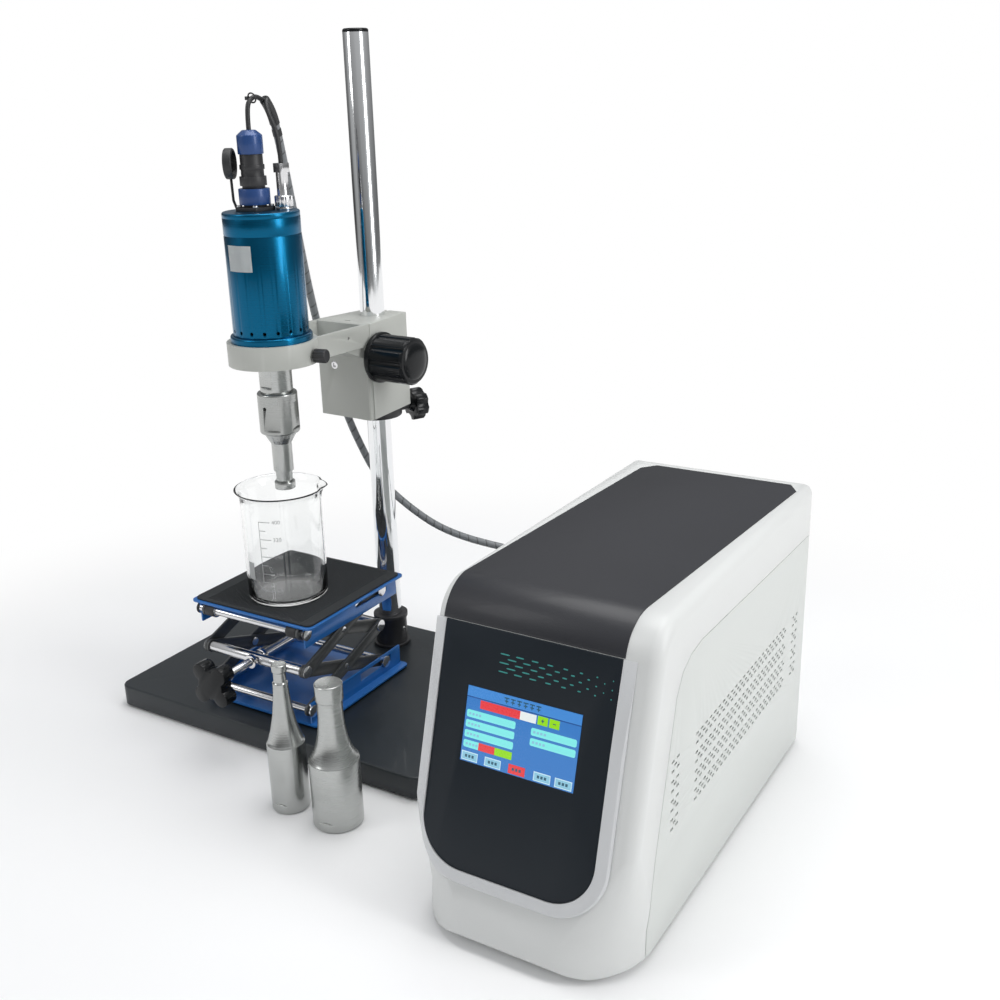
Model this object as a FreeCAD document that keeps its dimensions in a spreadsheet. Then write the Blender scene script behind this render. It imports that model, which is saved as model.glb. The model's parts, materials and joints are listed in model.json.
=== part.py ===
import FreeCAD, Part
import math
import os
import re
from FreeCAD import Placement, Rotation, Vector

# Ultrasonic extractor: stand, transducer and horn, lab jack, beaker, spare horns and generator.
# Lengths are in mm. Local X runs left to right, Y to the back and Z up, with the column's axis at X = Y = 0.

doc = FreeCAD.newDocument("UltrasonicExtractor")
dims = doc.addObject("Spreadsheet::Sheet", "Dims")

SIZES = [
    # where the column's axis stands in the shared frame
    ("column_x", -128.5), ("column_y", 153.0),
    # board and column
    ("board_w", 388.0), ("board_d", 266.0), ("board_t", 22.0), ("board_x", -4.0), ("board_y", -89.0),
    ("board_corner", 12.0), ("board_edge", 2.0), ("foot_h", 2.5), ("foot_r", 12.0),
    ("column_r", 12.5), ("column_bore", 10.0), ("column_top", 668.0), ("column_seat", 8.0),
    ("cap_h", 3.5), ("cap_plug", 10.0), ("socket_r", 17.5), ("socket_h", 33.0), ("socket_lip", 4.0),
    ("lip_r", 19.0), ("bolt_r", 4.0), ("bolt_head", 6.5), ("fit_gap", 0.05),
    # collar and head block
    ("collar_r", 25.0), ("collar_h", 10.0), ("collar_knob_r", 17.0), ("collar_aim", math.radians(68)), ("collar_knob_h", 14.0),
    ("head_z", 300.0), ("head_h", 97.5), ("head_turn", 3.2), ("block_front", 45.0), ("block_rear", 25.0),
    ("block_half", 34.0), ("block_tail", 25.0), ("block_round", 2.5),
    ("pinion_y", 35.0), ("pinion_z", 62.7), ("pinion_r", 6.0), ("shaft_r", 4.0), ("rack_w", 8.0),
    ("tooth_h", 2.0), ("focus_knob_r", 23.5), ("focus_disc_r", 25.5), ("focus_knob_l", 40.0),
    # focus arm and ring
    ("arm_reach", 145.6), ("arm_half", 33.0), ("arm_wall", 4.5), ("arm_floor", 3.5), ("plate_t", 6.0),
    ("ring_r", 42.0), ("ring_bore", 38.0), ("ring_h", 21.5), ("ledge_r", 34.0), ("ledge_h", 3.0),
    ("thumb_r", 6.5), ("thumb_l", 14.0),
    # transducer
    ("flange_rise", 6.5), ("shell_r", 35.0), ("shell_wall", 2.5), ("shell_h", 106.0), ("top_cap_h", 5.1),
    ("mass_r", 25.0), ("neck_r", 15.5), ("mass_h", 23.0), ("piezo_r", 24.0), ("piezo_t", 6.0),
    ("electrode_t", 0.4), ("back_mass_h", 30.0), ("preload_r", 5.0), ("neck_z", 348.0),
    ("sleeve_r", 19.0), ("sleeve_h", 40.0), ("horn_r", 9.75), ("horn_tip_r", 8.0), ("tip_r", 10.0),
    ("tip_h", 7.0), ("horn_h", 49.5), ("stud_r", 6.0),
    # connectors on the transducer
    ("plug_x", -4.0), ("plug_y", -147.5), ("plug_ring_r", 14.0), ("plug_body_r", 10.2), ("gland_r", 11.4),
    ("signal_x", 15.2), ("signal_y", -130.6), ("signal_nut_r", 8.3),
    # lab jack and beaker
    ("jack_x", -24.7), ("jack_y", -119.4), ("jack_w", 155.0), ("jack_plate_t", 2.0), ("jack_pad", 2.0),
    ("jack_pivot_z", 41.5), ("link_len", 127.0), ("jack_angle", 19.0), ("link_w", 13.0), ("link_t", 2.5),
    ("jack_rod_r", 5.5), ("jack_pin_r", 4.0), ("front_gap", 72.1), ("jack_mat", 2.0), ("jack_screw_r", 4.0),
    ("jack_knob_r", 25.0), ("flange_x", 66.0), ("flange_h", 23.0), ("top_drop", 8.8), ("knob_reach", 57.0),
    ("beaker_x", -21.0), ("beaker_y", -139.5), ("beaker_r", 40.0), ("beaker_h", 114.0), ("beaker_wall", 2.0),
    ("beaker_base", 3.0),
    # spare horns
    ("slim_x", 86.5), ("slim_y", -279.0), ("slim_r", 17.3), ("slim_tip_r", 6.8), ("slim_h", 143.0),
    ("wide_x", 139.5), ("wide_y", -277.0), ("wide_r", 22.6), ("wide_tip_r", 11.3), ("wide_h", 137.0),
    # generator
    ("gen_left", 270.0), ("gen_right", 455.0), ("gen_back", 50.0), ("gen_top", 264.0), ("panel_left", 11.3), ("panel_right", 28.0),
    ("panel_h", 187.0), ("screen_x", 25.5), ("screen_s", 46.0), ("gen_foot", 6.0),
    ("gen_wall", 3.0), ("seam_z", 218.0), ("sheet_t", 1.2), ("sheet_inset", 9.0), ("screen_w", 96.0),
    ("screen_h", 58.0), ("fan_r", 37.0), ("gen_round", 14.0),
    # cords
    ("bundle_r", 4.0), ("lead_r", 2.6), ("signal_lead_r", 2.1),
]

for row, (alias, value) in enumerate(SIZES, start=1):
    dims.set("A%d" % row, alias)
    dims.set("B%d" % row, repr(value))
    dims.setAlias("B%d" % row, alias)
doc.recompute()

NODES = []
DOWN = Vector(0, 0, -1)
TURN = {
    "z": Rotation(),
    "x": Rotation(Vector(0, 1, 0), 90),
    "y": Rotation(Vector(1, 0, 0), -90),
}


def get(alias):
    return float(dims.get(alias))


def ex(text):
    return re.sub(r"\b[a-z]+_[a-z0-9_]*\b", lambda m: "Dims." + m.group(0), str(text))


def bind(thing, prop, text):
    thing.setExpression(prop, ex(text))


def place(thing, at, axis="z"):
    thing.Placement = Placement(Vector(0, 0, 0), TURN[axis])
    for key, text in zip("xyz", at):
        bind(thing, ".Placement.Base." + key, text)
    return thing


def box(name, size, at):
    thing = doc.addObject("Part::Box", name)
    for prop, text in zip(("Length", "Width", "Height"), size):
        bind(thing, prop, text)
    return place(thing, at)


def rod(name, radius, height, at, axis="z"):
    thing = doc.addObject("Part::Cylinder", name)
    bind(thing, "Radius", radius)
    bind(thing, "Height", height)
    return place(thing, at, axis)


def cone(name, low, high, height, at, axis="z"):
    thing = doc.addObject("Part::Cone", name)
    bind(thing, "Radius1", low)
    bind(thing, "Radius2", high)
    bind(thing, "Height", height)
    return place(thing, at, axis)


def join(name, *parts):
    thing = doc.addObject("Part::MultiFuse", name)
    thing.Shapes = list(parts)
    thing.Refine = True
    return thing


def bunch(name, *parts):
    thing = doc.addObject("Part::Compound", name)
    thing.Links = list(parts)
    return thing


def cut(name, base, *tools):
    thing = doc.addObject("Part::Cut", name)
    thing.Base = base
    thing.Tool = tools[0] if len(tools) == 1 else join(name + "_tools", *tools)
    thing.Refine = True
    return thing


def solid(name, shape):
    thing = doc.addObject("Part::Feature", name)
    thing.Shape = shape
    return thing


def fillet(name, base, radius, pick):
    doc.recompute()
    thing = doc.addObject("Part::Fillet", name)
    thing.Base = base
    size = get(radius)
    thing.Edges = [(i, size, size) for i, e in enumerate(base.Shape.Edges, start=1) if pick(e)]
    return thing


def node(label, *parts, turned=False):
    thing = doc.addObject("Part::Compound", label)
    thing.Label = label
    thing.Links = list(parts)
    if turned:
        thing.Placement = Placement(Vector(0, 0, 0), Rotation(DOWN, 1.0))
        bind(thing, ".Placement.Rotation.Angle", "head_turn")
    bind(thing, ".Placement.Base.x", "column_x")
    bind(thing, ".Placement.Base.y", "column_y")
    NODES.append(thing)
    return thing


def is_upright(edge):
    ends = [v.Point for v in edge.Vertexes]
    return len(ends) == 2 and abs(ends[0].x - ends[1].x) < 1e-6 and abs(ends[0].y - ends[1].y) < 1e-6


def prism(points, low, high, axis="z"):
    # a closed outline in the plane across the axis, given as (x, y) or, along X, as (y, z)
    if axis == "z":
        ring = [Vector(a, b, low) for a, b in points]
        way = Vector(0, 0, high - low)
    else:
        ring = [Vector(low, a, b) for a, b in points]
        way = Vector(high - low, 0, 0)
    return Part.Face(Part.makePolygon(ring + [ring[0]])).extrude(way)


def lobed(radius, depth, height, count, groove, chamfer=0.0):
    # a grip whose rim has shallow grooves, standing on Z = 0
    shape = Part.makeCylinder(radius, height)
    if chamfer:
        top = [e for e in shape.Edges if abs(e.BoundBox.ZMin - height) < 1e-6 and e.Length > 1]
        shape = shape.makeChamfer(chamfer, top)
    tools = []
    for i in range(count):
        turn = 2 * math.pi * (i + 0.5) / count
        at = Vector(math.cos(turn), math.sin(turn), 0) * (radius + groove - depth)
        tools.append(Part.makeCylinder(groove, height * 0.999 + 2, at + Vector(0, 0, -1)))
    return shape.cut(tools)


def aimed(shape, at, way):
    # turns a shape that stands along Z to stand along a direction, with its foot at a point
    shape = shape.copy()
    shape.Placement = Placement(Vector(*at), Rotation(Vector(0, 0, 1), Vector(*way)))
    return shape


# Board with rubber feet, the column's seat and its bolt
board_top = "foot_h + board_t"
slab = box("board_slab", ("board_w", "board_d", "board_t"),
           ("board_x - board_w / 2", "board_y - board_d / 2", "foot_h"))
slab = fillet("board_corners", slab, "board_corner", is_upright)
slab = fillet("board_edges", slab, "board_edge", lambda e: e.BoundBox.ZMin > get("foot_h") + get("board_t") - 0.01)
seat = rod("column_seat_hole", "column_r + fit_gap", "column_seat + 1", (0, 0, board_top + " - column_seat"))
bolt_way = rod("bolt_way", "bolt_r + 0.3", "board_t + 2", (0, 0, "foot_h - 1"))
head_way = rod("bolt_head_way", "bolt_head + 0.8", "7", (0, 0, "foot_h - 1"))
node("base_board", cut("board_cut", slab, seat, bolt_way, head_way))

feet = []
for i, (sx, sy) in enumerate(((-1, -1), (1, -1), (1, 1), (-1, 1))):
    feet.append(rod("board_foot%d" % i, "foot_r", "foot_h", (
        "board_x + %d * (board_w / 2 - 30)" % sx, "board_y + %d * (board_d / 2 - 30)" % sy, 0)))
node("board_feet", *feet)

bolt_shank = rod("bolt_shank", "bolt_r", "24", (0, 0, "foot_h + 6"))
bolt_cap = rod("bolt_cap", "bolt_head", "5.5", (0, 0, "foot_h + 0.5"))
node("column_bolt", join("column_bolt_body", bolt_shank, bolt_cap))

tube = rod("column_tube", "column_r", "column_top - (foot_h + board_t - column_seat)",
           (0, 0, board_top + " - column_seat"))
tube_bore = rod("column_tube_bore", "column_bore", "column_top", (0, 0, board_top + " + 16"))
tube_thread = rod("column_thread", "bolt_r + 0.05", "18", (0, 0, board_top + " - column_seat - 1"))
node("column", cut("column_cut", tube, tube_bore, tube_thread))

cap_disc = rod("cap_disc", "column_r", "cap_h", (0, 0, "column_top"))
cap_disc = fillet("cap_round", cap_disc, "board_edge", lambda e: e.BoundBox.ZMin > get("column_top") + 1)
cap_stem = rod("cap_stem", "column_bore - 0.05", "cap_plug", (0, 0, "column_top - cap_plug"))
node("column_cap", join("column_cap_body", cap_disc, cap_stem))

sleeve = rod("socket_wall", "socket_r", "socket_h", (0, 0, board_top))
lip = rod("socket_lip_ring", "lip_r", "socket_lip", (0, 0, board_top + " + socket_h"))
base_ring = rod("socket_base_ring", "lip_r + 1", "3", (0, 0, board_top))
hole = rod("socket_bore", "column_r + fit_gap", "socket_h + socket_lip + 2", (0, 0, board_top + " - 1"))
screw_way = rod("socket_screw_way", "2.55", "40", (-20, 0, board_top + " + 20"), "x")
node("column_socket", cut("column_socket_cut", join("socket_outer", sleeve, lip, base_ring), hole, screw_way))
right_screw = rod("socket_screw_right", "2.5", "socket_r - column_r - 0.4", ("column_r + 0.1", 0, board_top + " + 20"), "x")
left_screw = rod("socket_screw_left", "2.5", "socket_r - column_r - 0.4", ("0.3 - socket_r", 0, board_top + " + 20"), "x")
node("socket_screws", right_screw, left_screw)

# Safety collar and its clamp knob, on the head's turned frame
ring = rod("collar_ring", "collar_r", "collar_h", (0, 0, "head_z - collar_h"))
ring = fillet("collar_round", ring, "board_edge", lambda e: e.BoundBox.ZMax < get("head_z") - get("collar_h") + 0.1)
aim = Vector(math.cos(get("collar_aim")), math.sin(get("collar_aim")), 0)
knob_z = get("head_z") - get("collar_h") / 2
boss = aimed(Part.makeCylinder(4.5, 15.5), aim * 20 + Vector(0, 0, knob_z), aim)
ring = join("collar_with_boss", ring, solid("collar_boss", boss))
hole = rod("collar_bore", "column_r + fit_gap", "collar_h + 2", (0, 0, "head_z - collar_h - 1"))
way = aimed(Part.makeCylinder(3.05, 30), aim * 11 + Vector(0, 0, knob_z), aim)
node("safety_collar", cut("collar_cut", ring, hole, solid("collar_screw_way", way)), turned=True)
stem = aimed(Part.makeCylinder(3.0, 35), aim * 12.7 + Vector(0, 0, knob_z), aim)
grip = lobed(get("collar_knob_r"), 4.0, get("collar_knob_h"), 6, 7.0, 2.0)
grip = aimed(grip, aim * 40 + Vector(0, 0, knob_z), aim)
flare = aimed(Part.makeCone(5.5, 9, 4.5), aim * 35.9 + Vector(0, 0, knob_z), aim)
socket = aimed(Part.makeCylinder(3.05, 12.8), aim * 34.9 + Vector(0, 0, knob_z), aim)
node("collar_knob", solid("collar_knob_body", grip.fuse(flare).cut(socket)), solid("collar_knob_screw", stem), turned=True)

# Clamp block round the column, with the dovetail groove and the pinion's cavity
low, high = get("head_z"), get("head_z") + get("head_h")
front, rear = get("block_front"), get("block_rear")
half, tail = get("block_half"), get("block_tail")
block = prism([(-half, -front), (half, -front), (tail, rear), (-tail, rear)], low, high)
block = block.makeFillet(get("block_round"), [e for e in block.Edges if is_upright(e) and e.Vertexes[0].Y > 0])
groove = prism([(-16.1, -front - 1), (16.1, -front - 1), (16.1, -front), (19.65, -front + 4.1),
                (-19.65, -front + 4.1), (-16.1, -front)], low - 1, high + 1)
body = cut("block_cut", solid("block_body", block), solid("dovetail_groove", groove),
           rod("block_bore", "column_r + fit_gap", "head_h + 2", (0, 0, "head_z - 1")),
           rod("block_shaft_way", "shaft_r + fit_gap", "90", (-45, "-pinion_y", "head_z + pinion_z"), "x"),
           rod("pinion_room", "pinion_r + 2", "rack_w + 3", ("-rack_w / 2 - 1.5", "-pinion_y", "head_z + pinion_z"), "x"),
           box("rack_channel", ("rack_w + 1", "3", "head_h + 2"), ("-rack_w / 2 - 0.5", "-block_front + 3.6", "head_z - 1")),
           box("block_split", ("3", "30", "head_h + 2"), ("-1.5", "column_r - 2", "head_z - 1")))
node("clamp_block", body, turned=True)

# Focus pinion on its cross shaft, with the large knob on the right and a retaining disc on the left
teeth = 12
root, tip = get("pinion_r") - 1.2, get("pinion_r") + 0.75
outline = []
for i in range(teeth):
    mid = 2 * math.pi * i / teeth
    for r, off in ((root, -0.185), (tip, -0.06), (tip, 0.06), (root, 0.185)):
        outline.append((r * math.cos(mid + off), r * math.sin(mid + off)))
gear = prism(outline, 0, get("rack_w"))
gear = aimed(gear, (-get("rack_w") / 2, -get("pinion_y"), low + get("pinion_z")), (1, 0, 0))
shaft = rod("pinion_shaft_rod", "shaft_r", "79.5", (-36.5, "-pinion_y", "head_z + pinion_z"), "x")
keeper = rod("pinion_keeper", "shaft_r + 3", "2", (-36.5, "-pinion_y", "head_z + pinion_z"), "x")
node("pinion_shaft", join("pinion_shaft_body", shaft, keeper, solid("pinion_teeth", gear)), turned=True)
for side, name in ((1, "focus_knob"),):
    disc = Part.makeCylinder(get("focus_disc_r"), 5.5)
    disc = disc.makeChamfer(1.2, [e for e in disc.Edges if e.Closed])
    grip = lobed(get("focus_knob_r"), 1.6, get("focus_knob_l"), 10, 4.0, 2.4)
    grip.translate(Vector(0, 0, 5.5))
    socket = Part.makeCylinder(get("shaft_r") + 0.05, 8.1, Vector(0, 0, -0.5))
    knob = disc.fuse(grip).cut(socket)
    knob = aimed(knob, (side * 35.5, -get("pinion_y"), low + get("pinion_z")), (side, 0, 0))
    node(name, solid(name + "_body", knob), turned=True)

# Focus arm: dovetail slide, plate, pocketed arm and ring in one casting
reach, arm = get("arm_reach"), get("arm_half")
ring_low = high - get("ring_h")
back = -front - get("fit_gap")
plate = prism([(-arm, -front - get("plate_t")), (arm, -front - get("plate_t")), (arm, back), (-arm, back)],
              low, high)
plate = plate.makeFillet(2.0, [e for e in plate.Edges if is_upright(e) and e.Vertexes[0].Y < -front - 1])
tongue = prism([(-16, back - 0.5), (-16, -front), (-19.5, -front + 4), (19.5, -front + 4), (16, -front),
                (16, back - 0.5)], low, high)
arm_bar = prism([(-arm, -reach + 22), (arm, -reach + 22), (arm, -front - 3), (-arm, -front - 3)], ring_low, high)
hoop = Part.makeCylinder(get("ring_r"), get("ring_h"), Vector(0, -reach, ring_low))
wedge = prism([(-front - get("plate_t") + 1, ring_low - 13), (-front - get("plate_t") + 1, ring_low + 1),
               (-front - 34, ring_low + 1), (-front - 34, ring_low)], -arm + 3, arm - 3, "x")
casting = plate.fuse([tongue, arm_bar, hoop, wedge]).removeSplitter()
pocket_w = arm - get("arm_wall")
pocket = prism([(-pocket_w, -reach + 10), (pocket_w, -reach + 10), (pocket_w, -front - get("plate_t") - 2),
                (-pocket_w, -front - get("plate_t") - 2)], ring_low + get("arm_floor"), high + 1)
pocket = pocket.cut(Part.makeCylinder(get("ring_r"), 60, Vector(0, -reach, ring_low - 10)))
bore = Part.makeCylinder(get("ring_bore"), 60, Vector(0, -reach, ring_low + get("ledge_h")))
ledge = Part.makeCylinder(get("ledge_r"), 60, Vector(0, -reach, ring_low - 5))
rack_room = Part.makeBox(get("rack_w") + 0.2, 3.0, 86.2,
                         Vector(-get("rack_w") / 2 - 0.1, -front + 1.5, low + 5.9))
thumb_aim = Vector(math.cos(math.radians(15)), math.sin(math.radians(15)), 0)
thumb_at = Vector(0, -reach, ring_low + 8)
thumb_way = aimed(Part.makeCylinder(3.05, 12), thumb_aim * 35 + thumb_at, thumb_aim)
cap_way = Part.makeCylinder(4.3, 2.5, Vector(-11, -front - get("plate_t") - 0.5, low + 53), Vector(0, 1, 0))
set_ways = [Part.makeCylinder(1.6, 9, Vector(arm - 6, -76, high - 9), Vector(1, 0, 0)),
            Part.makeCylinder(1.6, 9, Vector(-arm - 3, -76, high - 9), Vector(1, 0, 0))]
casting = casting.cut([pocket, bore, ledge, rack_room, thumb_way, cap_way] + set_ways)
node("focus_arm", solid("focus_arm_body", casting), turned=True)

rack_z = low + 6
pitch = 2 * math.pi * get("pinion_r") / teeth
line_y = -get("pinion_y") - get("pinion_r")
steps = []
base_z = low + get("pinion_z")
first = -int((base_z - rack_z - 2) / pitch)
last = int((rack_z + 86 - base_z - 2) / pitch)
for i in range(first, last):
    gap_mid = base_z + i * pitch
    for dz, y in ((0.95, line_y - 0.9), (1.25, line_y + 0.75), (pitch - 1.25, line_y + 0.75), (pitch - 0.95, line_y - 0.9)):
        steps.append((y, gap_mid + dz))
outline = [(-front + 1.6, rack_z), (line_y - 0.9, rack_z)] + steps + [(line_y - 0.9, rack_z + 86), (-front + 1.6, rack_z + 86)]
node("focus_rack", solid("focus_rack_body", prism(outline, -get("rack_w") / 2, get("rack_w") / 2, "x")), turned=True)

thumb = lobed(get("thumb_r"), 0.5, get("thumb_l") - 2, 12, 1.2, 0.8)
thumb = aimed(thumb, thumb_aim * 44 + thumb_at, thumb_aim)
thumb_stem = aimed(Part.makeCylinder(3.0, 8), thumb_aim * 37.97 + thumb_at, thumb_aim)
node("thumb_screw", solid("thumb_screw_body", thumb.fuse(thumb_stem)), turned=True)
cap_head = Part.makeCylinder(4.25, 2.0, Vector(-11, -front - get("plate_t"), low + 53), Vector(0, 1, 0))
cap_head = cap_head.cut(Part.makeCylinder(2.0, 1.5, Vector(-11, -front - get("plate_t") - 0.2, low + 53), Vector(0, 1, 0)))
set_a = Part.makeCylinder(1.55, 3.6, Vector(arm - 4.4, -76, high - 9), Vector(1, 0, 0))
set_b = Part.makeCylinder(1.55, 3.6, Vector(-arm + 0.8, -76, high - 9), Vector(1, 0, 0))
node("arm_screws", solid("arm_cap_screw", cap_head), solid("arm_set_a", set_a), solid("arm_set_b", set_b), turned=True)

# Transducer: flange in the ring, shell, cap, and the ceramic stack inside
axis = (0, "-arm_reach")
ring_top = "head_z + head_h"
seat_z = "head_z + head_h - ring_h + ledge_h"
lip_z = "head_z + head_h + flange_rise"


def turned_rod(name, radius, height, z):
    return rod(name, radius, height, (axis[0], axis[1], z))


flange = turned_rod("flange_drum", "ring_bore - fit_gap", "ring_h - ledge_h + flange_rise", seat_z)
flange = fillet("flange_round", flange, "board_edge",
                lambda e: e.BoundBox.ZMin > get("head_z") + get("head_h") + 1 and e.Closed)
flange_mass = turned_rod("flange_mass_hole", "mass_r + 0.1", "20", lip_z + " - 12")
flange_neck = turned_rod("flange_neck_hole", "neck_r + 0.2", "60", seat_z + " - 5")
node("transducer_flange", cut("flange_cut", flange, flange_mass, flange_neck), turned=True)

shell = turned_rod("shell_wall_rod", "shell_r", "shell_h", lip_z)
shell_room = turned_rod("shell_room", "shell_r - shell_wall", "shell_h + 2", lip_z + " - 1")
groove_out = turned_rod("shell_groove_out", "shell_r + 1", "1.2", lip_z + " + 90")
groove_in = turned_rod("shell_groove_in", "shell_r - 0.8", "1.2", lip_z + " + 90")
groove = cut("shell_groove", groove_out, groove_in)
lip_at = get("head_z") + get("head_h") + get("flange_rise")
vents = []
for i in range(18):
    turn = 2 * math.pi * (i + 0.25) / 18
    aim = Vector(math.cos(turn), math.sin(turn), 0)
    vents.append(aimed(Part.makeCylinder(1.6, 8), aim * 29 + Vector(0, -reach, lip_at + 5), aim))
vent_set = solid("shell_vents", Part.makeCompound(vents))
node("transducer_shell", cut("shell_cut", shell, shell_room, groove, vent_set), turned=True)

top_z = "head_z + head_h + flange_rise + shell_h"
cap = turned_rod("top_cap_disc", "shell_r", "top_cap_h", top_z)
cap = fillet("top_cap_round", cap, "board_edge", lambda e: e.BoundBox.ZMin > lip_at + get("shell_h") + 1 and e.Closed)
spigot = turned_rod("top_cap_spigot", "shell_r - shell_wall - 0.05", "6", top_z + " - 6")
cap_hole = rod("top_cap_hole", "7", "20", ("plug_x", "plug_y", top_z + " - 10"))
signal_hole = rod("top_cap_signal_hole", "5.05", "20", ("signal_x", "signal_y", top_z + " - 10"))
node("transducer_cap", cut("top_cap_cut", join("top_cap_body", cap, spigot), cap_hole, signal_hole), turned=True)

mass_z = lip_z + " - 12"
mass_disc = turned_rod("front_mass_disc", "mass_r", "mass_h", mass_z)
mass_neck = turned_rod("front_mass_neck", "neck_r", mass_z + " - neck_z", "neck_z")
mass_thread = turned_rod("front_mass_thread", "preload_r + 0.05", "16", mass_z + " + mass_h - 15")
mass_stud = turned_rod("front_mass_stud_hole", "stud_r + 0.05", "18", "neck_z - 1")
neck_flat = box("neck_flat", ("30", "6", "10"), ("-15", "-arm_reach - neck_r - 4", "neck_z + 6"))
node("front_mass", cut("front_mass_cut", join("front_mass_body", mass_disc, mass_neck), mass_thread, mass_stud,
                       neck_flat), turned=True)

stack = mass_z + " + mass_h"
rings = []
plates = []
for i in range(4):
    z = stack + " + %d * (piezo_t + electrode_t)" % i
    rings.append(cut("piezo_ring%d" % i, turned_rod("piezo_disc%d" % i, "piezo_r", "piezo_t", z),
                     turned_rod("piezo_hole%d" % i, "8", "piezo_t + 2", z + " - 1")))
    z = z + " + piezo_t"
    leaf = turned_rod("electrode_disc%d" % i, "piezo_r + 0.5", "electrode_t", z)
    tab = box("electrode_tab%d" % i, ("5", "7", "electrode_t"),
              ("-2.5 + %d" % (10 * i - 15), "-arm_reach + piezo_r - 3", z))
    plates.append(cut("electrode%d" % i, join("electrode_leaf%d" % i, leaf, tab),
                      turned_rod("electrode_hole%d" % i, "8", "3", z + " - 1")))
node("piezo_rings", *rings, turned=True)
node("electrodes", *plates, turned=True)
back_z = stack + " + 4 * (piezo_t + electrode_t)"
back = turned_rod("back_mass_drum", "piezo_r", "back_mass_h", back_z)
back_hole = turned_rod("back_mass_hole", "preload_r + 0.1", "back_mass_h + 2", back_z + " - 1")
node("back_mass", cut("back_mass_cut", back, back_hole), turned=True)
preload = turned_rod("preload_shank", "preload_r", "14 + 4 * (piezo_t + electrode_t) + back_mass_h", stack + " - 14")
preload_cap = turned_rod("preload_cap", "9", "9", back_z + " + back_mass_h")
node("preload_bolt", join("preload_body", preload, preload_cap), turned=True)

sleeve_z = "neck_z - sleeve_h"
sleeve = turned_rod("sleeve_drum", "sleeve_r", "sleeve_h", sleeve_z)
sleeve = fillet("sleeve_round", sleeve, "board_edge",
                lambda e: e.Closed)
flats = []
for i, turn in enumerate((20, 200, 110, 290)):
    wall = Part.makeBox(40, 6, 26, Vector(-20, 0, 0))
    wall.translate(Vector(0, get("sleeve_r") - 2.0, get("neck_z") - get("sleeve_h") + 5))
    wall.rotate(Vector(0, 0, 0), Vector(0, 0, 1), turn)
    wall.translate(Vector(0, -reach, 0))
    flats.append(wall)
flat_set = solid("sleeve_flats", Part.makeCompound(flats))
upper = turned_rod("sleeve_upper_hole", "stud_r + 0.05", "16", "neck_z - 15")
lower = turned_rod("sleeve_lower_hole", "stud_r + 0.05", "16", sleeve_z + " - 1")
pin_hole = rod("sleeve_pin_hole", "1.6", "12", (0, "-arm_reach - sleeve_r - 2", sleeve_z + " + 26"), "y")
node("coupling_sleeve", cut("sleeve_cut", sleeve, flat_set, upper, lower, pin_hole), turned=True)
node("coupling_studs", turned_rod("stud_upper", "stud_r", "30", "neck_z - 14.5"),
     turned_rod("stud_lower", "stud_r", "24", sleeve_z + " - 10"), turned=True)

horn_z = sleeve_z + " - horn_h"
flare = cone("horn_flare", "horn_r", "sleeve_r - 3", "11", ("0", "-arm_reach", sleeve_z + " - 11"))
thick = turned_rod("horn_thick", "horn_r", "28", sleeve_z + " - 38.5")
thin = turned_rod("horn_thin", "horn_tip_r", "11.5", horn_z)
tip_hole = turned_rod("horn_tip_hole", "4.05", "8.5", horn_z + " - 0.5")
horn_hole = turned_rod("horn_stud_hole", "stud_r + 0.05", "12", sleeve_z + " - 10.5")
node("horn", cut("horn_cut", join("horn_body", flare, thick, thin), tip_hole, horn_hole), turned=True)
tip_disc = turned_rod("tip_disc", "tip_r", "tip_h", horn_z + " - tip_h")

tip_stem = turned_rod("tip_stem", "4", "7.5", horn_z)
node("horn_tip", join("tip_body", tip_disc, tip_stem), turned=True)

# Power connector on the transducer's cap
deck = top_z + " + top_cap_h"
pad = box("plug_pad", ("26", "26", "3.5"), ("plug_x - 13", "plug_y - 13", deck))
pad = fillet("plug_pad_round", pad, "board_edge", is_upright)
pad_way = rod("plug_pad_way", "7", "6", ("plug_x", "plug_y", deck + " - 1"))
corner = []
for i, (sx, sy) in enumerate(((-1, -1), (1, -1), (1, 1), (-1, 1))):
    corner.append(rod("plug_pad_screw_way%d" % i, "1.55", "6",
                      ("plug_x + %d" % (10 * sx), "plug_y + %d" % (10 * sy), deck + " - 1")))
node("connector_flange", cut("plug_pad_cut", pad, pad_way, *corner), turned=True)
screws = []
for i, (sx, sy) in enumerate(((-1, -1), (1, -1), (1, 1), (-1, 1))):
    at = ("plug_x + %d" % (10 * sx), "plug_y + %d" % (10 * sy))
    shank = rod("plug_screw_shank%d" % i, "1.5", "3.5", at + (deck,))
    top = rod("plug_screw_top%d" % i, "2.5", "1.8", at + (deck + " + 3.5",))
    screws.append(join("plug_screw%d" % i, shank, top))
node("connector_screws", *screws, turned=True)

plug = ("plug_x", "plug_y")
nut = rod("plug_nut_drum", "plug_ring_r", "14", plug + (deck + " + 5.5",))
nut_room = rod("plug_nut_room", "plug_body_r + 0.1", "20", plug + (deck + " + 4",))
node("connector_ring", cut("plug_nut_cut", nut, nut_room), turned=True)
body_a = rod("plug_body_a", "plug_body_r", "45.5", plug + (deck + " + 3.5",))
body_b = rod("plug_body_b", "plug_body_r + 1.8", "8", plug + (deck + " + 22",))
body_c = rod("plug_body_c", "plug_body_r + 0.9", "4", plug + (deck + " + 36",))
body_way = rod("plug_body_way", "lead_r + 2.2", "60", plug + (deck + " + 14",))
node("connector_body", cut("plug_body_cut", join("plug_body", body_a, body_b, body_c), body_way), turned=True)
gland_a = rod("gland_a", "gland_r", "16", plug + (deck + " + 49",))
gland_b = cone("gland_b", "gland_r", "lead_r + 3.4", "4.5", plug + (deck + " + 65",))
gland_way = rod("gland_way", "lead_r + 0.05", "30", plug + (deck + " + 48",))
node("gland_nut", cut("gland_cut", join("gland_body", gland_a, gland_b), gland_way), turned=True)

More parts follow.
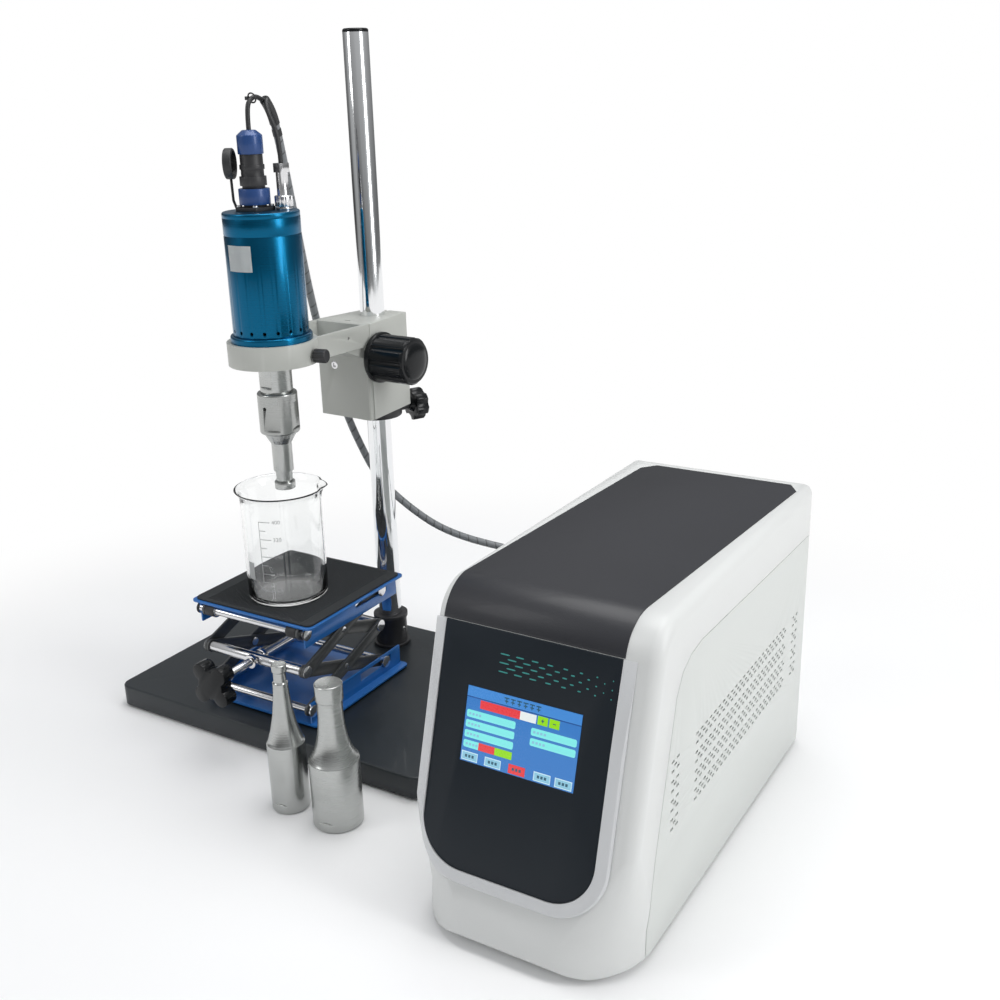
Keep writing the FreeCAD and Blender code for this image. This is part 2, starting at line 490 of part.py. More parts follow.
disc = Part.makeCylinder(13.5, 8)
disc = disc.makeFillet(1.5, [e for e in disc.Edges if e.Closed])
disc = disc.cut(Part.makeCylinder(11.5, 6, Vector(0, 0, 2)))
aim = Vector(0.83, 0.56, 0)
top_deck = lip_at + get("shell_h") + get("top_cap_h")
hub = Vector(get("plug_x") - 21.5, get("plug_y") - 11.5, top_deck + 41)
disc = aimed(disc, hub, aim)
node("dust_cap", solid("dust_cap_body", disc), turned=True)
strap_top = hub + Vector(0.83 * 4, 0.56 * 4, -13.2)
strap_end = Vector(get("plug_x") - 14.6, get("plug_y") - 9, top_deck + 1.9)
strap_mid = Vector(strap_top.x + 0.5, strap_top.y, top_deck + 9)
strap = Part.makeCylinder(1.2, (strap_mid - strap_top).Length, strap_top, strap_mid - strap_top)
strap = strap.fuse([Part.makeSphere(1.2, strap_mid),
                    Part.makeCylinder(1.2, (strap_end - strap_mid).Length, strap_mid, strap_end - strap_mid),
                    Part.makeCylinder(1.6, 1.6, Vector(strap_end.x, strap_end.y, strap_end.z), Vector(1, 0, 0))])
node("cap_strap", solid("cap_strap_body", strap), turned=True)

# Signal plug beside it
sig = ("signal_x", "signal_y")
socket = join("signal_socket_body", rod("signal_socket_thread", "5", "9", sig + (deck + " - 6",)),
              rod("signal_socket_lip", "7.4", "2", sig + (deck,)))
node("signal_socket", socket, turned=True)
sig_at = Vector(get("signal_x"), get("signal_y"), top_deck + 3)
nut = lobed(get("signal_nut_r"), 0.5, 9.5, 14, 1.2, 0.8)
nut.translate(sig_at)
body = Part.makeCylinder(5.4, 20, sig_at + Vector(0, 0, 9.5))
clamp = Part.makeBox(11, 9, 8, sig_at + Vector(-5.5, -4.5, 29.5))
way = Part.makeCylinder(get("signal_lead_r") + 0.05, 20, sig_at + Vector(0, 0, 22))
node("signal_plug", solid("signal_plug_body", nut.fuse([body, clamp]).removeSplitter().cut(way)), turned=True)

# Lab jack: base, two pairs of scissor links, cross rods, platform, screw and knob
jx, jy = get("jack_x"), get("jack_y")
half_w = get("jack_w") / 2
sheet_t = get("jack_plate_t")
pivot_y = jy - get("front_gap")
pivot_z = get("jack_pivot_z")
reach_y = get("link_len") * math.cos(math.radians(get("jack_angle")))
rise = get("link_len") * math.sin(math.radians(get("jack_angle")))
mid_z = pivot_z + rise
top_pivot = pivot_z + 2 * rise
rear_y = pivot_y + reach_y
mid_y = pivot_y + reach_y / 2
fx = get("flange_x")
board_z = get("foot_h") + get("board_t")
pin = get("jack_pin_r")
slot_h = pin + 0.15


def slot_shape(z):
    # the long hole a rear rod runs in, from the steepest link to the flattest
    y0 = pivot_y + get("link_len") * math.cos(math.radians(50)) - slot_h
    y1 = pivot_y + get("link_len") * math.cos(math.radians(7)) + slot_h
    return Part.makeBox(2 * fx + 20, y1 - y0, 2 * slot_h, Vector(jx - fx - 10, y0, z - slot_h))


def tray(z, up):
    # a plate with a standing wall along each side; up is 1 for the base and -1 for the platform
    plate = Part.makeBox(2 * half_w, 2 * half_w, sheet_t, Vector(jx - half_w, jy - half_w, z if up > 0 else z - sheet_t))
    plate = plate.makeFillet(6.0, [e for e in plate.Edges if is_upright(e)])
    walls = []
    for side in (-1, 1):
        x0 = jx + side * fx if side > 0 else jx - fx - 2.0
        z0 = z if up > 0 else z - get("flange_h")
        walls.append(Part.makeBox(2.0, 2 * half_w - 6, get("flange_h"), Vector(x0, jy - half_w + 3, z0)))
    return plate.fuse(walls).removeSplitter()


base_low = board_z + get("jack_pad")
top_high = top_pivot + get("top_drop")
base = tray(base_low, 1).cut([slot_shape(pivot_z),
                              Part.makeCylinder(pin + 0.02, 2 * fx + 20, Vector(jx - fx - 10, pivot_y, pivot_z), Vector(1, 0, 0))])
node("jack_base", solid("jack_base_body", base))
top = tray(top_high, -1).cut([slot_shape(top_pivot),
                              Part.makeCylinder(pin + 0.02, 2 * fx + 20, Vector(jx - fx - 10, pivot_y, top_pivot), Vector(1, 0, 0))])
node("jack_platform", solid("jack_platform_body", top))
pads = []
for i, (sx, sy) in enumerate(((-1, -1), (1, -1), (1, 1), (-1, 1))):
    pads.append(rod("jack_pad%d" % i, "6", "jack_pad", ("jack_x + %d * (jack_w / 2 - 12)" % sx,
                                                         "jack_y + %d * (jack_w / 2 - 12)" % sy, board_top)))
node("jack_pads", *pads)
mat = box("jack_mat_slab", ("jack_w - 6", "jack_w - 6", "jack_mat"),
          ("jack_x - jack_w / 2 + 3", "jack_y - jack_w / 2 + 3", top_high))
node("jack_mat", fillet("jack_mat_round", mat, "board_edge", is_upright))


def strip(y0, z0, y1, z1, outer):
    # one link on each side; the outer layer lies beside the flange, the inner one next to it
    w = get("link_w") / 2
    length = math.hypot(y1 - y0, z1 - z0)
    bar = Part.makeBox(get("link_t"), length, 2 * w, Vector(0, 0, -w))
    bar = bar.fuse([Part.makeCylinder(w, get("link_t"), Vector(0, 0, 0), Vector(1, 0, 0)),
                    Part.makeCylinder(w, get("link_t"), Vector(0, length, 0), Vector(1, 0, 0))]).removeSplitter()
    ways = []
    for along, r in ((0, pin), (length / 2, 3.0), (length, pin)):
        ways.append(Part.makeCylinder(r + 0.05, 10, Vector(-3, along, 0), Vector(1, 0, 0)))
    bar = bar.cut(ways)
    bar.rotate(Vector(0, 0, 0), Vector(1, 0, 0), math.degrees(math.atan2(z1 - z0, y1 - y0)))
    offset = fx - 1.0 - get("link_t") if outer else fx - 1.5 - 2 * get("link_t")
    pair = []
    for side in (-1, 1):
        piece = bar.copy()
        x0 = jx + offset if side > 0 else jx - offset - get("link_t")
        piece.translate(Vector(x0, y0, z0))
        pair.append(piece)
    return pair


LINKS = (
    ("lower_links_outer", pivot_y, pivot_z, rear_y, mid_z, True),
    ("lower_links_inner", rear_y, pivot_z, pivot_y, mid_z, False),
    ("upper_links_inner", rear_y, mid_z, pivot_y, top_pivot, False),
    ("upper_links_outer", pivot_y, mid_z, rear_y, top_pivot, True),
)
for name, y0, z0, y1, z1, outer in LINKS:
    pair = strip(y0, z0, y1, z1, outer)
    node(name, solid(name + "_a", pair[0]), solid(name + "_b", pair[1]))


def cross_rod(y, z, ends, middle=None, holes=None, head=1.8):
    # a rod along X through both sides, thicker between the links where asked
    bar = Part.makeCylinder(pin, 2 * ends, Vector(jx - ends, y, z), Vector(1, 0, 0))
    if middle:
        inner = fx - 2.0 - 2 * get("link_t")
        bar = bar.fuse(Part.makeCylinder(middle, 2 * inner, Vector(jx - inner, y, z), Vector(1, 0, 0)))
    for side in (-1, 1):
        x0 = jx + ends if side > 0 else jx - ends - head
        bar = bar.fuse(Part.makeCylinder(pin + 2.2, head, Vector(x0, y, z), Vector(1, 0, 0)))
    bar = bar.removeSplitter()
    if holes:
        bar = bar.cut(Part.makeCylinder(holes, 40, Vector(jx, y - 20, z), Vector(0, 1, 0)))
    return bar


screw_hole = get("jack_screw_r") + 0.05
node("base_front_rod", solid("base_front_rod_body", cross_rod(pivot_y, pivot_z, fx + 2.05)))
node("top_front_rod", solid("top_front_rod_body", cross_rod(pivot_y, top_pivot, fx + 2.05)))
node("base_rear_rod", solid("base_rear_rod_body", cross_rod(rear_y, pivot_z, fx + 2.15)))
node("top_rear_rod", solid("top_rear_rod_body", cross_rod(rear_y, top_pivot, fx + 2.15)))
node("front_screw_rod", solid("front_screw_rod_body", cross_rod(pivot_y, mid_z, fx - 0.95, get("jack_rod_r"), screw_hole, 0.8)))
node("rear_nut_rod", solid("rear_nut_rod_body", cross_rod(rear_y, mid_z, fx - 0.95, get("jack_rod_r"), screw_hole, 0.8)))
for name, z in (("lower_link_pins", pivot_z + rise / 2), ("upper_link_pins", mid_z + rise / 2)):
    pins = []
    for side in (-1, 1):
        inner = fx - 1.5 - 2 * get("link_t")
        x0 = jx + side * (inner - 0.2)
        stud = Part.makeCylinder(3.0, 2 * get("link_t") + 1.0, Vector(x0, mid_y, z), Vector(side, 0, 0))
        head = Part.makeCylinder(4.6, 1.4, Vector(x0 - side * 1.4, mid_y, z), Vector(side, 0, 0))
        pins.append(solid("%s_%d" % (name, side), stud.fuse(head).removeSplitter()))
    node(name, *pins)

spacers = []
for side in (-1, 1):
    x0 = jx + side * (fx - 2.2 - 2 * get("link_t"))
    drum = Part.makeCylinder(6.5, 12, Vector(x0, pivot_y, top_pivot), Vector(-side, 0, 0))
    drum = drum.cut(Part.makeCylinder(pin + 0.05, 20, Vector(x0 + side * 3, pivot_y, top_pivot), Vector(-side, 0, 0)))
    spacers.append(solid("top_spacer_%d" % side, drum))
node("top_rod_spacers", *spacers)

knob_y = pivot_y - get("knob_reach")
screw = Part.makeCylinder(get("jack_screw_r"), rear_y + 12 - knob_y, Vector(jx, knob_y, mid_z), Vector(0, 1, 0))
stop_a = Part.makeCylinder(7, 4, Vector(jx, pivot_y - get("jack_rod_r") - 4.3, mid_z), Vector(0, 1, 0))
stop_b = Part.makeCylinder(7, 4, Vector(jx, pivot_y + get("jack_rod_r") + 0.3, mid_z), Vector(0, 1, 0))
node("jack_screw", solid("jack_screw_body", screw.fuse([stop_a, stop_b]).removeSplitter()))
knob = Part.makeCylinder(9, 20, Vector(0, 0, 0))
lobes = [Part.makeCylinder(8.5, 14, Vector(0, 0, 6) + Vector(math.cos(a), math.sin(a), 0) * (get("jack_knob_r") - 8.5))
         for a in [math.radians(45 + 90 * k) for k in range(4)]]
arms = [Part.makeBox(2 * (get("jack_knob_r") - 8.5), 12, 14, Vector(-get("jack_knob_r") + 8.5, -6, 6))]
arms.append(arms[0].copy())
arms[0].rotate(Vector(0, 0, 0), Vector(0, 0, 1), 45)
arms[1].rotate(Vector(0, 0, 0), Vector(0, 0, 1), 135)
knob = knob.fuse(lobes + arms + [Part.makeCylinder(15, 14, Vector(0, 0, 6))]).removeSplitter()
knob = knob.cut(Part.makeCylinder(screw_hole, 12.05, Vector(0, 0, -1)))
node("jack_knob", solid("jack_knob_body", aimed(knob, (jx, knob_y + 11, mid_z), (0, -1, 0))))

# Beaker: one turned glass wall with a flared rim
r, h, wall = get("beaker_r"), get("beaker_h"), get("beaker_wall")
outline = [(0, 0), (r - 4, 0), (r - 1.2, 1.2), (r, 4), (r, h - 8), (r + 1.2, h - 3), (r + 4.5, h),
           (r + 2.6, h), (r - wall + 0.6, h - 3.4), (r - wall, h - 8), (r - wall, 6), (r - wall - 3, 3), (0, 3)]
ring = [Vector(a, 0, b) for a, b in outline]
glass = Part.Face(Part.makePolygon(ring + [ring[0]])).revolve(Vector(0, 0, 0), Vector(0, 0, 1), 360)
glass.translate(Vector(get("beaker_x"), get("beaker_y"), top_high + get("jack_mat")))
node("beaker", solid("beaker_glass", glass))


def turned_piece(points, x, y):
    ring = [Vector(a, 0, b) for a, b in points]
    shape = Part.Face(Part.makePolygon(ring + [ring[0]])).revolve(Vector(0, 0, 0), Vector(0, 0, 1), 360)
    shape.translate(Vector(x, y, 0))
    return shape


def throat(base_r, top_r, z0, z1, length):
    # points of a horn's throat, which narrows ever more slowly from its body to its neck
    last = math.exp(-(z1 - z0) / length)
    points = []
    for k in range(15):
        z = z0 + (z1 - z0) * k / 14
        share = (math.exp(-(z - z0) / length) - last) / (1 - last)
        points.append((top_r + (base_r - top_r) * share, z))
    return points


# Spare horns standing on the table, each with spanner flats and a threaded hole below
r, tip, h = get("slim_r"), get("slim_tip_r"), get("slim_h")
slim = turned_piece([(6.05, 0), (r - 1, 0), (r, 1), (r, 66.5)] + throat(r - 1.3, tip + 0.1, 68.5, 121, 30)
                    + [(tip + 0.1, 125), (tip - 1.1, 126.5), (tip - 1.1, h - 7.5), (tip, h - 6.5), (tip, h - 0.6),
                       (tip - 0.6, h), (0, h), (0, 22), (6.05, 22)], get("slim_x"), get("slim_y"))
r, tip, h = get("wide_r"), get("wide_tip_r"), get("wide_h")
wide = turned_piece([(6.05, 0), (r - 1, 0), (r, 1), (r, 63.5)] + throat(r - 1.6, tip, 65.5, 105, 16)
                    + [(tip, h - 16.5), (tip + 1.1, h - 15.5), (tip + 1.1, h - 0.8), (tip + 0.3, h),
                       (0, h), (0, 22), (6.05, 22)], get("wide_x"), get("wide_y"))
for shape, name, r, label in ((slim, "slim", get("slim_r"), "spare_horn_slim"),
                              (wide, "wide", get("wide_r"), "spare_horn_wide")):
    x, y = get(name + "_x"), get(name + "_y")
    tools = []
    for turn in (-172, 8):
        tool = Part.makeBox(2 * r, 6, 24, Vector(-r, r - 1.3, 9))
        tool.rotate(Vector(0, 0, 0), Vector(0, 0, 1), turn)
        tool.translate(Vector(x, y, 0))
        tools.append(tool)
    node(label, solid(label + "_body", shape.cut(tools)))

# Generator case: a side outline with a rounded knee, met by plan sections whose front corners open
# out towards the bottom
x0, x1 = get("gen_left"), get("gen_right")
yb, zt, zf, wall = get("gen_back"), get("gen_top"), get("gen_foot"), get("gen_wall")
seam = get("seam_z")
KNEE = (-298.7, zt - 25.7)
TOE = (-355.0, 44.0)
slope = math.hypot(TOE[0] - KNEE[0], KNEE[1] - TOE[1])
down = Vector(0, (TOE[0] - KNEE[0]) / slope, (TOE[1] - KNEE[1]) / slope)
proud = Vector(0, down.z, -down.y)


def on_front(s, lift):
    # a point on the sloping front, s mm down from its top edge and lifted off it
    q = Vector(0, KNEE[0], KNEE[1]) + down * s + proud * lift
    return q.y, q.z


def knee_points(inset):
    # start, middle and end of the knee's arc, which touches the flat top and the sloping front
    turn = math.acos(down.y * -1)
    start, end = on_front(0, -inset)[0] + 34.2 + 0.29 * inset, on_front(0, -inset)
    y_, z_ = start, zt - inset
    radius_ = (34.2 + 0.29 * inset) / math.sin(turn)
    mid_ = (y_ - radius_ * math.sin(turn / 2), z_ - radius_ * (1 - math.cos(turn / 2)))
    return (y_, z_), mid_, end


def side_face(inset, x):
    first, mid_, last = knee_points(inset)
    points = [(last[0], last[1]), (-364.0 + inset, 13.0), (-361.5 + inset, 8.5 + inset * 0.4),
              (-355, zf + inset), (yb - inset, zf + inset),
              (yb - inset, zt - inset), first]
    points = [Vector(x, y, z) for y, z in points]
    edges = [Part.makeLine(p_, q_) for p_, q_ in zip(points[:-1], points[1:])]
    edges.append(Part.Arc(points[-1], Vector(x, mid_[0], mid_[1]), points[0]).toShape())
    return Part.Face(Part.Wire(edges))


def plan_wire(z, inset, corner):
    # a rectangle in plan whose front corners are round
    front_ = on_front((KNEE[1] - z) / -down.z, 0.0)[0]
    front_ = min(front_, -200.0) + inset - 0.6
    left, right = x0 + inset, x1 - inset
    k = corner * (1 - math.sqrt(0.5))
    points = [(left, front_ + corner), (left + k, front_ + k), (left + corner, front_),
              (right - corner, front_), (right - k, front_ + k), (right, front_ + corner),
              (right, yb + 5), (left, yb + 5)]
    v = [Vector(x, y, z) for x, y in points]
    return Part.Wire([Part.Arc(v[0], v[1], v[2]).toShape(), Part.makeLine(v[2], v[3]),
                      Part.Arc(v[3], v[4], v[5]).toShape(), Part.makeLine(v[5], v[6]),
                      Part.makeLine(v[6], v[7]), Part.makeLine(v[7], v[0])])


def case_solid(inset, rounding):
    shape = side_face(inset, x0 + inset).extrude(Vector(x1 - x0 - 2 * inset, 0, 0))
    edges = [e for e in shape.Edges if e.BoundBox.XLength < 1e-6 and e.BoundBox.YMin < yb - inset - 1
             and e.BoundBox.ZMax > 50]
    edges += [e for e in shape.Edges if e.BoundBox.XLength < 1e-6 and e.BoundBox.YMin > yb - inset - 0.01]
    shape = shape.makeFillet(rounding, edges)
    sections = [plan_wire(z, inset, max(5.5, corner - inset))
                for z, corner in ((zf - 2, 66), (30, 58), (66, 33), (104, 11), (KNEE[1], 8), (zt + 8, 8))]
    return shape.common(Part.makeLoft(sections, True, True))


case = case_solid(0.0, get("gen_round") - 4)
skin = case.cut(case_solid(wall, get("gen_round") - 7))
lower = [(yb + 5, -20), (yb + 5, seam), (-222, seam + 8), (-243, seam + 5), (-258, seam - 3), (-268, seam - 18),
         (-301, 83), (-312, 30), (-314, -20)]
below = prism(lower, x0 - 5, x1 + 5, "x")
casing = skin.common(below)
shell = skin.cut(below)
slots = []
field = [(k, row) for k in range(23) for row in range(3)]
ends = [(k, row) for k in (-5, -4, 25, 26) for row in range(3) if row != 1 or k in (-5, 25)]
for band in range(4):
    for k, row in field + ends:
        y = -228 + 9.3 * k + 4.65 * (row % 2)
        slot = Part.makeBox(wall + 4, 5.0, 2.2, Vector(x0 - 2, y, 91 + band * 16.5 + 4.0 * row))
        slots.append(slot)
        slots.append(slot.translated(Vector(x1 - x0 - wall, 0, 0)))
rear_open = Part.makeBox(x1 - x0 - 24, 2 * wall + 4, seam - zf - 24, Vector(x0 + 12, yb - wall - 3, zf + 10))
casing = casing.cut(slots + [rear_open])
wider = Part.makePolygon([Vector(x0 - 5, y, z) for y, z in lower + [lower[0]]]).makeOffset2D(0.9, 2)
wider = Part.Face(wider).extrude(Vector(x1 - x0 + 10, 0, 0))
shell = shell.cut(wider.cut([below, case_solid(0.9, get("gen_round") - 5)]))
node("gen_casing", solid("gen_casing_body", casing))

# Dark sheet let into the cover's top, from the back over the knee to the panel
px0, px1 = x0 + get("panel_left"), x1 - get("panel_right")
t = get("sheet_t")


def knee_band(lift, back):
    first, mid_, last = knee_points(-lift)
    return (back, zt + lift), first, mid_, last


def band_edges(points, x):
    v = [Vector(x, y, z) for y, z in points]
    return [Part.makeLine(v[0], v[1]), Part.Arc(v[1], v[2], v[3]).toShape()]


top_edges = band_edges(knee_band(0.5, yb - 8), x0)
bottom_edges = band_edges(knee_band(-t, yb - 8), x0)
ends = [Part.makeLine(top_edges[0].Vertexes[0].Point, bottom_edges[0].Vertexes[0].Point),
        Part.makeLine(top_edges[1].Vertexes[1].Point, bottom_edges[1].Vertexes[1].Point)]
profile = Part.Wire(Part.__sortEdges__(top_edges + bottom_edges + ends))
sheet = Part.Face(profile).extrude(Vector(x1 - x0, 0, 0))
plan = [(px0 - 3, -330), (px1 + 1.5, -330), (px1 + 1.5, -292), (x1 - 10, yb - 24), (x1 - 20, yb - 8),
        (x0 + 32, yb - 8), (x0 + 21, yb - 22), (px0 - 3, -270)]
sheet = sheet.common(prism(plan, zt - 60, zt + 10, "z"))
node("top_sheet", solid("top_sheet_body", sheet))


def front_slab(s0, s1, xa, xb, low_lift, high_lift, corner=0.0):
    # a slab on the sloping front, with round lower corners where asked
    def at_(x, s):
        y, z = on_front(s, low_lift)
        return Vector(x, y, z)
    if corner:
        k = corner * (1 - math.sqrt(0.5))
        edges = [Part.makeLine(at_(xa, s0), at_(xa, s1 - corner)),
                 Part.Arc(at_(xa, s1 - corner), at_(xa + k, s1 - k), at_(xa + corner, s1)).toShape(),
                 Part.makeLine(at_(xa + corner, s1), at_(xb - corner, s1)),
                 Part.Arc(at_(xb - corner, s1), at_(xb - k, s1 - k), at_(xb, s1 - corner)).toShape(),
                 Part.makeLine(at_(xb, s1 - corner), at_(xb, s0)),
                 Part.makeLine(at_(xb, s0), at_(xa, s0))]
        wire = Part.Wire(edges)
    else:
        wire = Part.makePolygon([at_(xa, s0), at_(xa, s1), at_(xb, s1), at_(xb, s0), at_(xa, s0)])
    return Part.Face(wire).extrude(proud * (high_lift - low_lift))


panel_h = get("panel_h")
rim_out = front_slab(0.6, panel_h + 10.5, px0 - 9.3, px1 + 11.0, -8.0, 2.6, 46.0)
rim_in = front_slab(-5.0, panel_h + 0.4, px0 - 0.4, px1 + 0.4, -12.0, 6.0, 36.4)
rim_top = [e for e in rim_out.Edges if abs(Vector(e.CenterOfMass - Vector(0, *on_front(0, 2.6))).dot(proud)) < 0.01]
rim_out = rim_out.makeChamfer(1.6, [e for e in rim_top if e.CenterOfMass.z < KNEE[1] - 4])
rim = rim_out.cut(rim_in).common(case_solid(-2.6, get("gen_round") - 2))
fade = [on_front(-14, -0.6), on_front(0, 0.35), on_front(70, 2.65), on_front(70, 14), on_front(-14, 14)]
rim = rim.cut(prism(fade, x0 - 8, x1 + 8, "x"))
rim = rim.common(Part.makeBox(x1 - x0 + 1.2, 400, 400, Vector(x0 - 0.6, -450, -20)))
panel = front_slab(0.6, panel_h, px0, px1, -1.0, 1.2, 36.0)
shell = shell.cut([sheet, rim, front_slab(0.5, panel_h + 0.5, px0 - 0.5, px1 + 0.5, -1.0, 8.0, 36.5)])
node("gen_cover", solid("gen_cover_body", shell))
sx0, ss = px0 + get("screen_x"), get("screen_s")
window = front_slab(ss, ss + get("screen_h"), sx0, sx0 + get("screen_w"), -3.0, 6.0)
node("front_panel", solid("front_panel_body", panel.cut(window)))
screen = front_slab(ss + 0.3, ss + get("screen_h") - 0.3, sx0 + 0.3, sx0 + get("screen_w") - 0.3, -1.0, 0.9)
node("touch_screen", solid("touch_screen_body", screen))
node("trim_rim", solid("trim_rim_body", rim))

gen_feet = []
for i, (fx_, fy_) in enumerate(((x0 + 24, -305), (x1 - 24, -305), (x1 - 24, yb - 24), (x0 + 24, yb - 24))):
    gen_feet.append(solid("gen_foot%d" % i, Part.makeCone(9, 11, zf, Vector(fx_, fy_, 0))))
node("gen_feet", *gen_feet)

# Rear panel with its fittings
rear = Part.makeBox(x1 - x0 - 21, 2.0, seam - zf - 12, Vector(x0 + 10.5, yb - wall - 2.0, zf + 4))
fan_x, fan_z = x0 + 56, 146.0
inlet_x, inlet_z = x1 - 42, 60.0
switch_x, switch_z = x1 - 42, 110.0
fuse_x, fuse_z = x1 - 84, 56.0
gland_x, gland_z = x0 + 62, 85.0
ways = [Part.makeCylinder(get("fan_r"), 8, Vector(fan_x, yb - 8, fan_z), Vector(0, 1, 0)),
        Part.makeBox(29, 8, 21, Vector(inlet_x - 14.5, yb - 8, inlet_z - 10.5)),
        Part.makeBox(20, 8, 28, Vector(switch_x - 10, yb - 8, switch_z - 14)),
        Part.makeCylinder(6.1, 8, Vector(fuse_x, yb - 8, fuse_z), Vector(0, 1, 0)),
        Part.makeCylinder(6.1, 8, Vector(gland_x, yb - 8, gland_z), Vector(0, 1, 0))]
node("rear_panel", solid("rear_panel_body", rear.cut(ways)))
face = yb - wall
inlet = Part.makeBox(28.8, 20, 20.8, Vector(inlet_x - 14.4, face - 20, inlet_z - 10.4))
inlet = inlet.fuse(Part.makeBox(40, 2.4, 27, Vector(inlet_x - 20, face, inlet_z - 13.5)))
inlet = inlet.cut(Part.makeBox(24, 16, 16, Vector(inlet_x - 12, face - 13, inlet_z - 8)))
node("mains_inlet", solid("mains_inlet_body", inlet))
pins = [solid("inlet_pin%d" % k, Part.makeBox(2, 11, 4, Vector(inlet_x - 1 + dx, face - 12.9, inlet_z - 2 + dz)))
        for k, (dx, dz) in enumerate(((-7, -2), (7, -2), (0, 3)))]
node("inlet_pins", *pins)
frame = Part.makeBox(19.8, 14, 27.8, Vector(switch_x - 9.9, face - 14, switch_z - 13.9))
frame = frame.fuse(Part.makeBox(24, 2.2, 32, Vector(switch_x - 12, face, switch_z - 16)))
frame = frame.cut(Part.makeBox(15, 20, 24, Vector(switch_x - 7.5, face - 11, switch_z - 12)))
rocker_pins = Part.makeCylinder(1.2, 18, Vector(switch_x - 9, face - 6, switch_z), Vector(1, 0, 0))
pin_ways = Part.makeCylinder(1.25, 18.6, Vector(switch_x - 9.3, face - 6, switch_z), Vector(1, 0, 0))
node("switch_frame", solid("switch_frame_body", frame.cut(pin_ways)))
rocker = prism([(face - 8, switch_z - 8), (face + 3.4, switch_z - 10.5), (face + 1.0, switch_z),
                (face + 3.4, switch_z + 10.5), (face - 8, switch_z + 8)], switch_x - 7.2, switch_x + 7.2, "x")
rocker.rotate(Vector(switch_x, face - 6, switch_z), Vector(1, 0, 0), 6)
node("power_rocker", solid("power_rocker_body", rocker.fuse(rocker_pins).removeSplitter()))
fuse_body = Part.makeCylinder(6.0, 22, Vector(fuse_x, face - 22, fuse_z), Vector(0, 1, 0))
fuse_cap = Part.makeCylinder(8.5, 6, Vector(fuse_x, face, fuse_z), Vector(0, 1, 0))
node("fuse_holder", solid("fuse_holder_body", fuse_body.fuse(fuse_cap)))
cord_r = get("bundle_r")
gland = Part.makeCylinder(6.0, 14, Vector(gland_x, face - 8, gland_z), Vector(0, 1, 0))
gland = gland.fuse([Part.makeCylinder(10, 5, Vector(gland_x, face, gland_z), Vector(0, 1, 0)),
                    Part.makeCylinder(8.5, 6, Vector(gland_x, face + 5, gland_z), Vector(0, 1, 0))]).removeSplitter()
node("cable_gland", solid("cable_gland_body", gland))
side = 2 * get("fan_r") + 6
fan = Part.makeBox(side, 25, side, Vector(fan_x - side / 2, face - 27, fan_z - side / 2))
fan = fan.cut([Part.makeCylinder(get("fan_r"), 40, Vector(fan_x, face - 35, fan_z), Vector(0, 1, 0))])
spokes = []
for k in range(4):
    arm_ = Part.makeBox(get("fan_r") + 2, 2, 4, Vector(0, face - 27, fan_z - 2))
    arm_.translate(Vector(fan_x, 0, 0))
    arm_.rotate(Vector(fan_x, 0, fan_z), Vector(0, 1, 0), 45 + 90 * k)
    spokes.append(arm_)
stator = Part.makeCylinder(13, 4, Vector(fan_x, face - 27, fan_z), Vector(0, 1, 0))
spindle = Part.makeCylinder(2, 14, Vector(fan_x, face - 25, fan_z), Vector(0, 1, 0))
node("fan_frame", solid("fan_frame_body", fan.fuse(spokes + [stator, spindle]).removeSplitter()))
rotor = Part.makeCylinder(14, 17, Vector(fan_x, face - 22.5, fan_z), Vector(0, 1, 0))
blades = []
for k in range(7):
    blade = Part.makeBox(get("fan_r") - 14, 1.4, 17, Vector(12, -0.7, -8.5))
    blade.rotate(Vector(0, 0, 0), Vector(1, 0, 0), 35)
    blade.rotate(Vector(0, 0, 0), Vector(0, 1, 0), k * 360 / 7)
    blade.translate(Vector(fan_x, face - 14, fan_z))
    blades.append(blade)
rotor = rotor.fuse(blades).removeSplitter()
rotor = rotor.cut(Part.makeCylinder(2.05, 13, Vector(fan_x, face - 23, fan_z), Vector(0, 1, 0)))
node("fan_rotor", solid("fan_rotor_body", rotor))
guard = []
for r in (36, 27, 18, 9):
    hoop_ = Part.makeCylinder(r + 0.9, 1.8, Vector(fan_x, face + 0.2, fan_z), Vector(0, 1, 0))
    guard.append(hoop_.cut(Part.makeCylinder(r - 0.9, 4, Vector(fan_x, face - 1, fan_z), Vector(0, 1, 0))))
for k in range(2):
    bar = Part.makeBox(78, 1.8, 1.8, Vector(fan_x - 39, face + 0.2, fan_z - 0.9))
    bar.rotate(Vector(fan_x, face, fan_z), Vector(0, 1, 0), 45 + 90 * k)
    guard.append(bar)
for sx in (-1, 1):
    for sz in (-1, 1):
        eye = Part.makeCylinder(3.6, 1.8, Vector(fan_x + 28 * sx, face + 0.2, fan_z + 28 * sz), Vector(0, 1, 0))
        guard.append(eye)
node("fan_guard", solid("fan_guard_body", guard[0].fuse(guard[1:]).removeSplitter()))

# Electronics inside the case
tray_z = zf + wall
chassis = Part.makeBox(x1 - x0 - 30, 300, 1.5, Vector(x0 + 15, yb - 330, tray_z))
node("chassis_plate", solid("chassis_plate_body", chassis))
posts = []
for k, (a, b) in enumerate(((x0 + 26, -255), (x0 + 96, -255), (x0 + 96, -105), (x0 + 26, -105))):
    posts.append(solid("board_post%d" % k, Part.makeCylinder(3, 10, Vector(a, b, tray_z + 1.5))))
node("board_posts", *posts)
board = Part.makeBox(82, 162, 1.6, Vector(x0 + 20, -261, tray_z + 11.5))
node("power_board", solid("power_board_body", board))
coil = Part.makeBox(54, 40, 44, Vector(x0 + 32, -170, tray_z + 13.1))
coil = coil.fuse(Part.makeBox(34, 60, 30, Vector(x0 + 42, -180, tray_z + 20)))
node("transformer", solid("transformer_body", coil.removeSplitter()))
fins = Part.makeBox(50, 110, 6, Vector(x0 + 116, -240, tray_z + 1.5))
